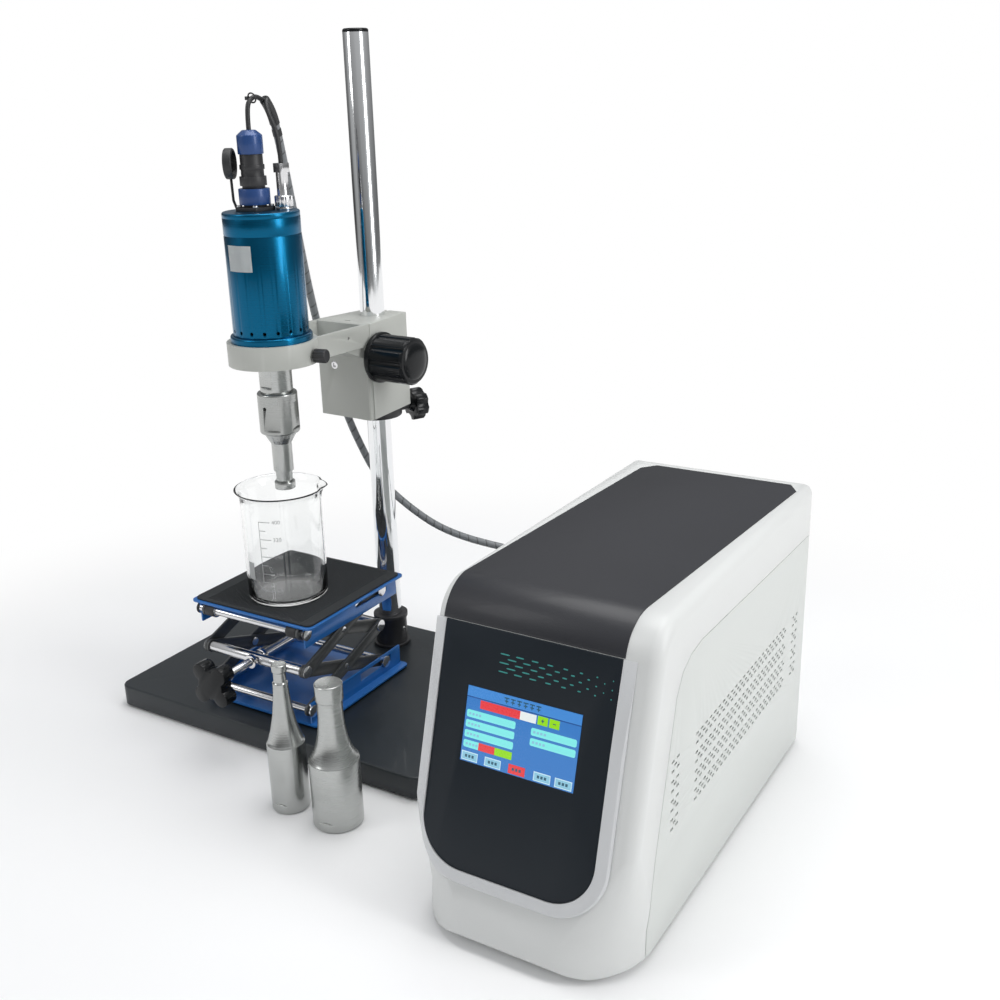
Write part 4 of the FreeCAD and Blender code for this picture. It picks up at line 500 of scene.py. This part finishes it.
# Generator: the screen's picture and the dashes on the sloping front
SLOPE = Vector((0, -56.3, -194.3)).normalized()
OUT = Vector((0, SLOPE.z, -SLOPE.y))
# The screen's left edge, its top edge down the slope, its width and its height, in mm
SX, SS, SW, SH = 307.1, 46.3, 95.4, 57.4


def front(x, s, lift):
    """A point on the sloping front: x in mm, s mm down the slope, lift mm off it."""
    p = Vector((x, -298.7, 238.3)) + SLOPE * s + OUT * lift
    return at(p.x, p.y, p.z)


def flat_colour(name, color, rough=0.25, glow=0.25):
    mat = finish(name, color, rough=rough, scale=1500, bump=0.0, vary=0.02, coat=0.4)
    b = mat.node_tree.nodes["Principled BSDF"]
    b.inputs["Emission Color"].default_value = list(color) + [1.0]
    b.inputs["Emission Strength"].default_value = glow
    return mat


for key, color in (("ui_blue", (0.03, 0.19, 0.55)), ("ui_bar", (0.05, 0.25, 0.66)),
                   ("ui_line", (0.01, 0.08, 0.3)), ("ui_cyan", (0.22, 0.82, 0.80)),
                   ("ui_red", (0.80, 0.04, 0.05)), ("ui_green", (0.30, 0.72, 0.0)),
                   ("ui_white", (0.80, 0.86, 0.86)), ("ui_pale", (0.26, 0.56, 0.72)),
                   ("ui_ink", (0.02, 0.1, 0.16)), ("ui_edge", (0.55, 0.78, 0.88))):
    M[key] = flat_colour(key, color)
# The printed dashes get a faint emission as well: a painted glow that lifts them off the dark panel
M["dash"] = flat_colour("dash_teal_painted_glow", (0.03, 0.27, 0.25), 0.4, 0.05)


def plate(bm, u0, v0, u1, v1, lift, thick, round_=0.0, steps=4, index=0):
    """A thin plate between two corners of the screen, given as parts of its width and height."""
    x0, x1, s0, s1 = SX + u0 * SW, SX + u1 * SW, SS + v0 * SH, SS + v1 * SH
    ring = []
    if round_:
        for cx, cs, a0 in ((x1 - round_, s0 + round_, -90), (x1 - round_, s1 - round_, 0),
                           (x0 + round_, s1 - round_, 90), (x0 + round_, s0 + round_, 180)):
            for k in range(steps + 1):
                t = rad(a0 + 90 * k / steps)
                ring.append((cx + round_ * math.cos(t), cs + round_ * math.sin(t)))
    else:
        ring = [(x0, s0), (x1, s0), (x1, s1), (x0, s1)]
    top = [bm.verts.new(front(x, s, lift + thick)) for x, s in ring]
    low = [bm.verts.new(front(x, s, lift)) for x, s in ring]
    faces = [bm.faces.new(top), bm.faces.new(list(reversed(low)))]
    for i in range(len(ring)):
        j = (i + 1) % len(ring)
        faces.append(bm.faces.new((top[i], low[i], low[j], top[j])))
    for f in faces:
        f.material_index = index


def screen():
    bm = bmesh.new()
    names = ["ui_blue", "ui_bar", "ui_line", "ui_cyan", "ui_red", "ui_green", "ui_white", "ui_pale", "ui_ink",
             "ui_edge"]
    k = {n: i for i, n in enumerate(names)}
    z = 0.92
    plate(bm, 0, 0, 1, 1, z, 0.08, 0, index=k["ui_blue"])
    plate(bm, 0, 0, 1, 0.135, z + 0.12, 0.04, index=k["ui_bar"])
    plate(bm, 0, 0.135, 1, 0.150, z + 0.12, 0.04, index=k["ui_line"])
    for i in range(6):
        plate(bm, 0.33 + 0.056 * i, 0.035, 0.373 + 0.056 * i, 0.05, z + 0.2, 0.03, index=k["ui_ink"])
        plate(bm, 0.336 + 0.056 * i, 0.075, 0.367 + 0.056 * i, 0.09, z + 0.2, 0.03, index=k["ui_ink"])
        plate(bm, 0.347 + 0.056 * i, 0.035, 0.355 + 0.056 * i, 0.11, z + 0.2, 0.03, index=k["ui_ink"])
    plate(bm, 0.125, 0.158, 0.481, 0.268, z + 0.12, 0.04, index=k["ui_red"])
    plate(bm, 0.481, 0.158, 0.622, 0.268, z + 0.12, 0.04, index=k["ui_white"])
    for u, plus in ((0.634, True), (0.734, False)):
        plate(bm, u, 0.155, u + 0.088, 0.268, z + 0.12, 0.04, index=k["ui_green"])
        plate(bm, u + 0.031, 0.206, u + 0.057, 0.217, z + 0.2, 0.03, index=k["ui_ink"])
        if plus:
            plate(bm, u + 0.040, 0.187, u + 0.048, 0.236, z + 0.2, 0.03, index=k["ui_ink"])
    for v in (0.312, 0.446, 0.580, 0.714):
        plate(bm, 0.014, v, 0.452, v + 0.1, z + 0.12, 0.04, 1.4, index=k["ui_cyan"])
        for j in range(4):
            plate(bm, 0.035 + 0.03 * j, v + 0.035, 0.055 + 0.03 * j, v + 0.065, z + 0.2, 0.03,
                  index=k["ui_pale"])
    for v in (0.325, 0.458):
        plate(bm, 0.59, v, 0.98, v + 0.1, z + 0.12, 0.04, 1.4, index=k["ui_cyan"])
        for j in range(4):
            plate(bm, 0.61 + 0.03 * j, v + 0.035, 0.63 + 0.03 * j, v + 0.065, z + 0.2, 0.03,
                  index=k["ui_pale"])
    plate(bm, 0.151, 0.714, 0.298, 0.814, z + 0.17, 0.04, index=k["ui_red"])
    plate(bm, 0.298, 0.714, 0.452, 0.814, z + 0.17, 0.04, index=k["ui_green"])
    for u, kind in ((0.010, "ui_pale"), (0.220, "ui_pale"), (0.434, "ui_red"), (0.655, "ui_pale"),
                    (0.838, "ui_pale")):
        plate(bm, u, 0.865, u + 0.146, 0.985, z + 0.12, 0.04,
              index=k["ui_edge"] if kind == "ui_pale" else k[kind])
        plate(bm, u + 0.008, 0.878, u + 0.140, 0.972, z + 0.17, 0.04, index=k[kind])
        for j in range(3):
            plate(bm, u + 0.032 + 0.03 * j, 0.905, u + 0.052 + 0.03 * j, 0.942, z + 0.22, 0.03,
                  index=k["ui_ink"])
    obj = add("screen_picture", bm, names[0], "base", 30)
    for n in names[1:]:
        obj.data.materials.append(M[n])


screen()


# Dash pattern on the front panel, instanced by geometry nodes and made real
def dashes():
    unit = bmesh.new()
    ring = []
    for cx, a0 in ((0.5, -90), (-0.5, 90)):
        for k in range(7):
            t = rad(a0 + 30 * k)
            ring.append((cx + 0.5 * math.cos(t) * 0.9, 0.5 * math.sin(t) * 0.9))
    top = [unit.verts.new((x, y, 0.06)) for x, y in ring]
    low = [unit.verts.new((x, y, 0.0)) for x, y in ring]
    unit.faces.new(top)
    unit.faces.new(list(reversed(low)))
    for i in range(len(ring)):
        unit.faces.new((top[i], low[i], low[(i + 1) % len(ring)], top[(i + 1) % len(ring)]))
    bmesh.ops.recalc_face_normals(unit, faces=unit.faces)
    mesh = bpy.data.meshes.new("dash_unit")
    unit.to_mesh(mesh)
    unit.free()
    unit_obj = bpy.data.objects.new("dash_unit", mesh)
    points, longs = [], []
    for row in range(5):
        odd = row % 2
        for k in range(7 if odd else 8):
            size = max(0.9, (8.2, 6.9, 5.8, 4.8, 3.8, 2.6, 1.4, 0.9)[k] - 0.6 * odd)
            points.append(front(334.8 + 12.5 * k + 6.2 * odd, 17.2 + 3.3 * row, 1.2))
            longs.append(size / 1900)
    cloud = bpy.data.meshes.new("dash_points")
    cloud.from_pydata([tuple(p) for p in points], [], [])
    attr = cloud.attributes.new("long", "FLOAT", "POINT")
    attr.data.foreach_set("value", longs)
    obj = link(bpy.data.objects.new("panel_dashes", cloud))
    tree = bpy.data.node_groups.new("Dashes", "GeometryNodeTree")
    tree.interface.new_socket(name="Geometry", in_out="INPUT", socket_type="NodeSocketGeometry")
    sizes = {label: tree.interface.new_socket(name=label, in_out="INPUT", socket_type="NodeSocketFloat")
             for label in ("Dash width", "Dash thickness")}
    tree.interface.new_socket(name="Geometry", in_out="OUTPUT", socket_type="NodeSocketGeometry")
    n = tree.nodes.new
    gi, go = n("NodeGroupInput"), n("NodeGroupOutput")
    inst, real = n("GeometryNodeInstanceOnPoints"), n("GeometryNodeRealizeInstances")
    info, named = n("GeometryNodeObjectInfo"), n("GeometryNodeInputNamedAttribute")
    setmat, comb = n("GeometryNodeSetMaterial"), n("ShaderNodeCombineXYZ")
    rot = n("FunctionNodeInputVector")
    info.inputs["Object"].default_value = unit_obj
    named.data_type = "FLOAT"
    named.inputs["Name"].default_value = "long"
    tilt = math.atan2(OUT.z, -OUT.y)
    rot.vector = (rad(90) - tilt, 0, 0)
    setmat.inputs["Material"].default_value = M["dash"]
    link_all(tree, [(gi.outputs[0], inst.inputs["Points"]),
                    (info.outputs["Geometry"], inst.inputs["Instance"]),
                    (named.outputs["Attribute"], comb.inputs[0]),
                    (gi.outputs["Dash width"], comb.inputs[1]),
                    (gi.outputs["Dash thickness"], comb.inputs[2]), (comb.outputs[0], inst.inputs["Scale"]),
                    (rot.outputs[0], inst.inputs["Rotation"]), (inst.outputs[0], real.inputs[0]),
                    (real.outputs[0], setmat.inputs["Geometry"]), (setmat.outputs[0], go.inputs[0])])
    mod = obj.modifiers.new("nodes", "NODES")
    mod.node_group = tree
    mod[sizes["Dash width"].identifier] = 0.0011
    mod[sizes["Dash thickness"].identifier] = 0.0013
    bpy.context.view_layer.update()
    flat = bpy.data.meshes.new_from_object(obj.evaluated_get(bpy.context.evaluated_depsgraph_get()))
    bpy.data.objects.remove(obj)
    bpy.data.objects.remove(unit_obj)
    done = link(bpy.data.objects.new("panel_dashes", flat))
    if not flat.materials:
        flat.materials.append(M["dash"])
    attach(done, "base")


dashes()


# Cords: radii, the wrapping's turn pitch and its groove, in metres
LEAD_R, BUNDLE_R, TURN_PITCH, GROOVE = 0.0021, 0.004, 0.011, 0.0005


def spline(name, points, resolution=24):
    """The smooth line through a route, as points read back from its NURBS curve."""
    curve = bpy.data.curves.new(name, "CURVE")
    curve.dimensions = "3D"
    s = curve.splines.new("NURBS")
    s.points.add(len(points) - 1)
    for p, q in zip(s.points, points):
        p.co = (*at(*q), 1.0)
    s.order_u = 3
    s.use_endpoint_u = True
    s.resolution_u = resolution
    holder = link(bpy.data.objects.new(name, curve))
    bpy.context.view_layer.update()
    mesh = bpy.data.meshes.new_from_object(holder.evaluated_get(bpy.context.evaluated_depsgraph_get()))
    line = [v.co.copy() for v in mesh.vertices]
    bpy.data.objects.remove(holder)
    bpy.data.meshes.remove(mesh)
    return line


def length_of(line):
    return sum((b - a).length for a, b in zip(line, line[1:]))


def spaced(line, step):
    """The same line with its points a fixed distance apart."""
    total = length_of(line)
    n = max(2, int(round(total / step)))
    out, i, run = [line[0]], 0, 0.0
    for k in range(1, n):
        want = total * k / n
        while run + (line[i + 1] - line[i]).length < want:
            run += (line[i + 1] - line[i]).length
            i += 1
        seg = line[i + 1] - line[i]
        out.append(line[i] + seg * ((want - run) / seg.length))
    out.append(line[-1])
    return out


def tube(name, line, radius, mat, sides=24, wrap=0.0, start=0.0):
    """A tube on a line; wrap sinks a helical groove in it, as between the turns of spiral wrapping."""
    bm = bmesh.new()
    along, around = bm.verts.layers.float.new("along"), bm.verts.layers.float.new("around")
    way = (line[1] - line[0]).normalized()
    side = way.orthogonal().normalized()
    rings, run = [], start
    for i, p in enumerate(line):
        if i:
            run += (p - line[i - 1]).length
        ahead = (line[min(i + 1, len(line) - 1)] - line[max(i - 1, 0)]).normalized()
        side = (way.rotation_difference(ahead) @ side)
        side = (side - ahead * side.dot(ahead)).normalized()
        way = ahead
        up = way.cross(side)
        ring = []
        for k in range(sides):
            t = 2 * math.pi * k / sides
            r = radius
            if wrap:
                f = (run / TURN_PITCH - k / sides) % 1.0
                edge = min(f, 1 - f)
                r = radius - wrap * (1 - min(1.0, edge / 0.09)) ** 2
            v = bm.verts.new(p + (side * math.cos(t) + up * math.sin(t)) * r)
            v[along] = run
            v[around] = k / sides
            ring.append(v)
        rings.append(ring)
    for a, b in zip(rings, rings[1:]):
        for k in range(sides):
            j = (k + 1) % sides
            bm.faces.new((a[k], a[j], b[j], b[k]))
    bm.faces.new(list(reversed(rings[0])))
    bm.faces.new(rings[-1])
    return add(name, bm, mat, None, 60), run


def wrap_material():
    """Grey spiral wrapping with a dark line between its turns."""
    mat = finish("wrap_grey", (0.20, 0.21, 0.22), rough=0.42, scale=900, bump=0.1, vary=0.06)
    tree = mat.node_tree
    b = tree.nodes["Principled BSDF"]
    a1, a2 = tree.nodes.new("ShaderNodeAttribute"), tree.nodes.new("ShaderNodeAttribute")
    a1.attribute_name, a2.attribute_name = "along", "around"
    f = math_node(tree, "FRACT",
                  math_node(tree, "SUBTRACT", math_node(tree, "DIVIDE", a1.outputs["Fac"], TURN_PITCH),
                            a2.outputs["Fac"]))
    edge = math_node(tree, "MINIMUM", f, math_node(tree, "SUBTRACT", 1.0, f))
    dark = tree.nodes.new("ShaderNodeMapRange")
    dark.inputs["From Min"].default_value = 0.02
    dark.inputs["From Max"].default_value = 0.10
    dark.inputs["To Min"].default_value = 0.35
    dark.inputs["To Max"].default_value = 1.0
    tree.links.new(edge, dark.inputs["Value"])
    mul = tree.nodes.new("ShaderNodeMix")
    mul.data_type = "RGBA"
    mul.blend_type = "MULTIPLY"
    mul.inputs[0].default_value = 1.0
    old = b.inputs["Base Color"].links[0].from_socket
    tree.links.new(old, mul.inputs[6])
    tree.links.new(dark.outputs[0], mul.inputs[7])
    tree.links.new(mul.outputs[2], b.inputs["Base Color"])
    return mat


M["wrap"] = wrap_material()
POWER = [(-12.2, -147.0, 584.65), (-12.2, -147.0, 603.0), (-12.2, -141.5, 610.4), (-12.2, -132.7, 613.0),
         (-12.8, -124.6, 608.6)]
SIGNAL = [(7.9, -131.2, 555.7), (7.9, -131.2, 571.0), (4.8, -131.3, 585.0), (-1.6, -131.0, 597.0),
          (-6.3, -128.3, 605.5), (-8.6, -123.6, 609.4)]
WRAP = [(-11.0, -124.0, 609.0), (-14.0, -116.0, 603.5), (-17.8, -107.0, 594.0), (-20.2, -100.0, 579.0),
        (-22.0, -94.0, 559.0), (-24.2, -87.0, 534.0), (-27.2, -78.0, 504.0), (-31.2, -68.0, 472.0),
        (-36.0, -56.0, 437.0), (-42.0, -42.0, 405.0), (-47.0, -28.0, 372.0), (-48.0, -15.0, 336.0),
        (-45.5, -4.0, 303.0), (-41.5, 4.0, 274.0), (-35.5, 10.5, 250.0), (-27.0, 17.0, 224.0),
        (-15.0, 23.5, 202.0), (0.0, 30.0, 186.0), (15.0, 39.0, 170.0), (32.0, 53.0, 152.0),
        (54.0, 73.0, 135.5), (83.0, 93.0, 123.5), (119.0, 108.0, 115.5), (160.0, 115.0, 108.5),
        (203.0, 116.0, 102.5), (244.0, 113.5, 97.0), (280.0, 107.0, 92.0), (308.0, 96.0, 88.0),
        (325.0, 80.0, 86.0), (332.0, 58.0, 85.0)]


def halfway(a, b):
    return tuple((p + q) / 2 for p, q in zip(a, b))


def cords():
    for name, route, r in (("power_lead", POWER, LEAD_R), ("signal_lead", SIGNAL, LEAD_R)):
        line = spaced(spline(name, route), 0.0012)
        obj, total = tube(name, line, r, "lead", 20)
        if name == "power_lead":
            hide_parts("transducer_leads")
        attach(obj, "head")
    cut_a, cut_b = halfway(WRAP[8], WRAP[9]), halfway(WRAP[16], WRAP[17])
    start = 0.0
    for name, route, bodies in (("bundle_head", WRAP[:9] + [cut_a], ("head", "block")),
                                ("bundle_drop", [cut_a] + WRAP[9:17] + [cut_b], ("block", "collar")),
                                ("bundle_tail", [cut_b] + WRAP[17:], ("collar", "base"))):
        line = spaced(spline(name, route), 0.0009)
        obj, end = tube(name + "_wrap", line, BUNDLE_R, "wrap", 24, GROOVE, start=start)
        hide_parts(name)
        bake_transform(obj)
        start = end
        if name == "bundle_head":
            sleeve = [p for p in line if (p - line[0]).length < 0.030]
            cover, _ = tube("bundle_sleeve", sleeve, 0.0047, "lead", 24)
            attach(cover, "head")
            band = [p for p in line if 0.034 < (p - line[0]).length < 0.041]
            tape, _ = tube("bundle_tape", band, 0.0044, "lead", 24)
            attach(tape, "head")


cords()


def cable_tie():
    centre, normal = at(-12.1, -139.3, 611.2), Vector((0, 0.96, 0.28)).normalized()
    a = normal.orthogonal().normalized()
    b = normal.cross(a)
    ring = [centre + (a * math.cos(2 * math.pi * k / 40) + b * math.sin(2 * math.pi * k / 40)) * 0.0042
            for k in range(41)]
    obj, _ = tube("cable_tie_band", ring, 0.0007, "lead", 10)
    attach(obj, "head")
    bm = bmesh.new()
    box_into(bm, at(-19.0, -141.3, 609.4), at(-15.2, -138.0, 612.6))
    bevel(bm, 0.0005)
    add("cable_tie_lock", bm, "lead", "head", 40)


cable_tie()


def knob_face():
    """A low dome on the focus knob's end, which the plain solid leaves flat."""
    end, r = (81.0, -35.0, 362.7), 18.5
    profile = [(0.0, 3.0), (6.0, 2.85), (11.0, 2.4), (15.0, 1.6), (17.4, 0.7), (r, -0.2), (0.0, -0.2)]
    bm = lathe(profile, (0, 0, 0), 64)
    spin = Matrix.Rotation(TURN, 4, "Z") @ Matrix.Rotation(rad(90), 4, "Y")
    bmesh.ops.transform(bm, matrix=Matrix.Translation(head(*end)) @ spin, verts=bm.verts)
    add("focus_knob_face", bm, "gloss", "focus_drive", 50)


knob_face()


# Pale bare plate on the transducer's shell
def shell_plate():
    bm = bmesh.new()
    c = head(0, -145.6, 0)
    r, thickness = 0.03505, 0.00025
    a0, a1, z0, z1 = rad(-111.5), rad(-67.5), 0.4645, 0.4875
    cols = []
    n = 16
    for k in range(n + 1):
        a = a0 + (a1 - a0) * k / n
        cols.append([bm.verts.new((c.x + r * math.cos(a), c.y + r * math.sin(a), z)) for z in (z0, z1)])
    for p, q in zip(cols, cols[1:]):
        bm.faces.new((p[0], q[0], q[1], p[1]))
    bmesh.ops.solidify(bm, geom=bm.faces[:], thickness=-thickness)
    add("shell_plate", bm, "tag", "head", 40)


shell_plate()

# Camera, lights, floor and background
sc = bpy.context.scene
az, el, roll = rad(31.370), rad(19.201), rad(-1.519)
back = Vector((math.sin(az) * math.cos(el), -math.cos(az) * math.cos(el), math.sin(el)))
right = Vector((math.cos(az), math.sin(az), 0))
up = back.cross(right)
right2 = right * math.cos(roll) + up * math.sin(roll)
up2 = up * math.cos(roll) - right * math.sin(roll)
eye = at(737.56, -966.90, 611.84)
cam_data = bpy.data.cameras.new("camera")
cam_data.lens = 42.316
cam_data.sensor_width = 36.0
cam_data.clip_start = 0.01
cam_data.clip_end = 50
cam = link(bpy.data.objects.new("camera", cam_data))
turn = Matrix((right2, up2, back)).transposed().to_4x4()
cam.matrix_world = Matrix.Translation(eye) @ turn
sc.camera = cam


def area(name, place, aim, size, power):
    data = bpy.data.lights.new(name, "AREA")
    data.shape = "RECTANGLE"
    data.size, data.size_y = size
    data.energy = power
    obj = link(bpy.data.objects.new(name, data))
    obj.location = place
    obj.rotation_euler = (Vector(aim) - Vector(place)).to_track_quat("-Z", "Y").to_euler()


area("key", (-1.2, -1.5, 1.7), (0.0, 0.0, 0.25), (0.7, 1.2), 9)
area("side", (1.9, 0.1, 1.1), (0.1, 0.0, 0.25), (0.6, 1.6), 18)
area("top", (0.1, 0.3, 2.1), (0.0, 0.0, 0.2), (1.6, 1.2), 24)

world = bpy.data.worlds.new("studio")
sc.world = world
world.use_nodes = True
wt = world.node_tree
for n in list(wt.nodes):
    wt.nodes.remove(n)
out = wt.nodes.new("ShaderNodeOutputWorld")
paths = wt.nodes.new("ShaderNodeLightPath")
coord = wt.nodes.new("ShaderNodeTexCoord")
sep = wt.nodes.new("ShaderNodeSeparateXYZ")
wt.links.new(coord.outputs["Generated"], sep.inputs[0])
angle = math_node(wt, "ARCTAN2", sep.outputs[1], sep.outputs[0])
ramp = wt.nodes.new("ShaderNodeValToRGB")
ramp.color_ramp.interpolation = "EASE"
stops = [(0.0, 0.06), (0.035, 0.12), (0.085, 0.40), (0.155, 0.45), (0.19, 0.10), (0.22, 0.035), (0.27, 0.06),
         (0.305, 0.12), (0.34, 0.24), (0.42, 0.30), (0.45, 0.75), (0.50, 0.9), (0.545, 0.75), (0.575, 0.22),
         (0.70, 0.20), (0.85, 0.22), (0.94, 0.10), (1.0, 0.06)]
cr = ramp.color_ramp
cr.elements[0].position, cr.elements[0].color = stops[0][0], [stops[0][1]] * 3 + [1]
cr.elements[1].position, cr.elements[1].color = stops[-1][0], [stops[-1][1]] * 3 + [1]
for pos, val in stops[1:-1]:
    e = cr.elements.new(pos)
    e.color = [val * 0.98, val, val * 1.01, 1]
wt.links.new(math_node(wt, "ADD", math_node(wt, "DIVIDE", angle, 2 * math.pi), 0.5), ramp.inputs[0])
sky = wt.nodes.new("ShaderNodeMix")
sky.data_type = "RGBA"
sky.inputs[7].default_value = (0.95, 0.96, 0.97, 1)
wt.links.new(ramp.outputs[0], sky.inputs[6])
wt.links.new(math_node(wt, "MULTIPLY", math_node(wt, "ABSOLUTE", sep.outputs[2]), 1.25, True), sky.inputs[0])


def backdrop(color, strength):
    n = wt.nodes.new("ShaderNodeBackground")
    if isinstance(color, tuple):
        n.inputs[0].default_value = (*color, 1)
    else:
        wt.links.new(color, n.inputs[0])
    n.inputs[1].default_value = strength
    return n.outputs[0]


def switch(fac, a, b):
    n = wt.nodes.new("ShaderNodeMixShader")
    wt.links.new(fac, n.inputs[0])
    wt.links.new(a, n.inputs[1])
    wt.links.new(b, n.inputs[2])
    return n.outputs[0]


shown = switch(paths.outputs["Is Glossy Ray"], backdrop((0.93, 0.95, 0.98), 0.42),
               backdrop(sky.outputs[2], 0.70))
shown = switch(paths.outputs["Is Transmission Ray"], shown, backdrop((1, 1, 1), 1.0))
shown = switch(paths.outputs["Is Camera Ray"], shown, backdrop((1, 1, 1), 1.0))
wt.links.new(shown, out.inputs[0])

# The floor is pale under the object and fades to white between two distances from its middle, in metres
FADE_FROM, FADE_TO = 0.42, 0.85
floor_mat = bpy.data.materials.new("floor")
floor_mat.use_nodes = True
ft = floor_mat.node_tree
fb = ft.nodes["Principled BSDF"]
fb.inputs["Base Color"].default_value = (0.92, 0.92, 0.92, 1)
fb.inputs["Roughness"].default_value = 0.55
fb.inputs["Specular IOR Level"].default_value = 0.25
geo = ft.nodes.new("ShaderNodeNewGeometry")
dist = ft.nodes.new("ShaderNodeVectorMath")
dist.operation = "DISTANCE"
dist.inputs[1].default_value = (0.0, 0.0, 0.0)
fade = ft.nodes.new("ShaderNodeMapRange")
fade.interpolation_type = "SMOOTHSTEP"
fade.inputs["From Min"].default_value = FADE_FROM
fade.inputs["From Max"].default_value = FADE_TO
glow = ft.nodes.new("ShaderNodeEmission")
mixs = ft.nodes.new("ShaderNodeMixShader")
link_all(ft, [(geo.outputs["Position"], dist.inputs[0]), (dist.outputs["Value"], fade.inputs["Value"]),
              (fade.outputs[0], mixs.inputs[0]), (fb.outputs[0], mixs.inputs[1]),
              (glow.outputs[0], mixs.inputs[2]),
              (mixs.outputs[0], ft.nodes["Material Output"].inputs[0])])
bm = bmesh.new()
bmesh.ops.create_grid(bm, x_segments=8, y_segments=8, size=6.0)
floor_mesh = bpy.data.meshes.new("floor")
bm.to_mesh(floor_mesh)
bm.free()
floor = link(bpy.data.objects.new("floor", floor_mesh))
floor_mesh.materials.append(floor_mat)

sc.cycles.max_bounces = 12
sc.cycles.transmission_bounces = 10
sc.cycles.transparent_max_bounces = 16
sc.view_settings.view_transform = "Standard"
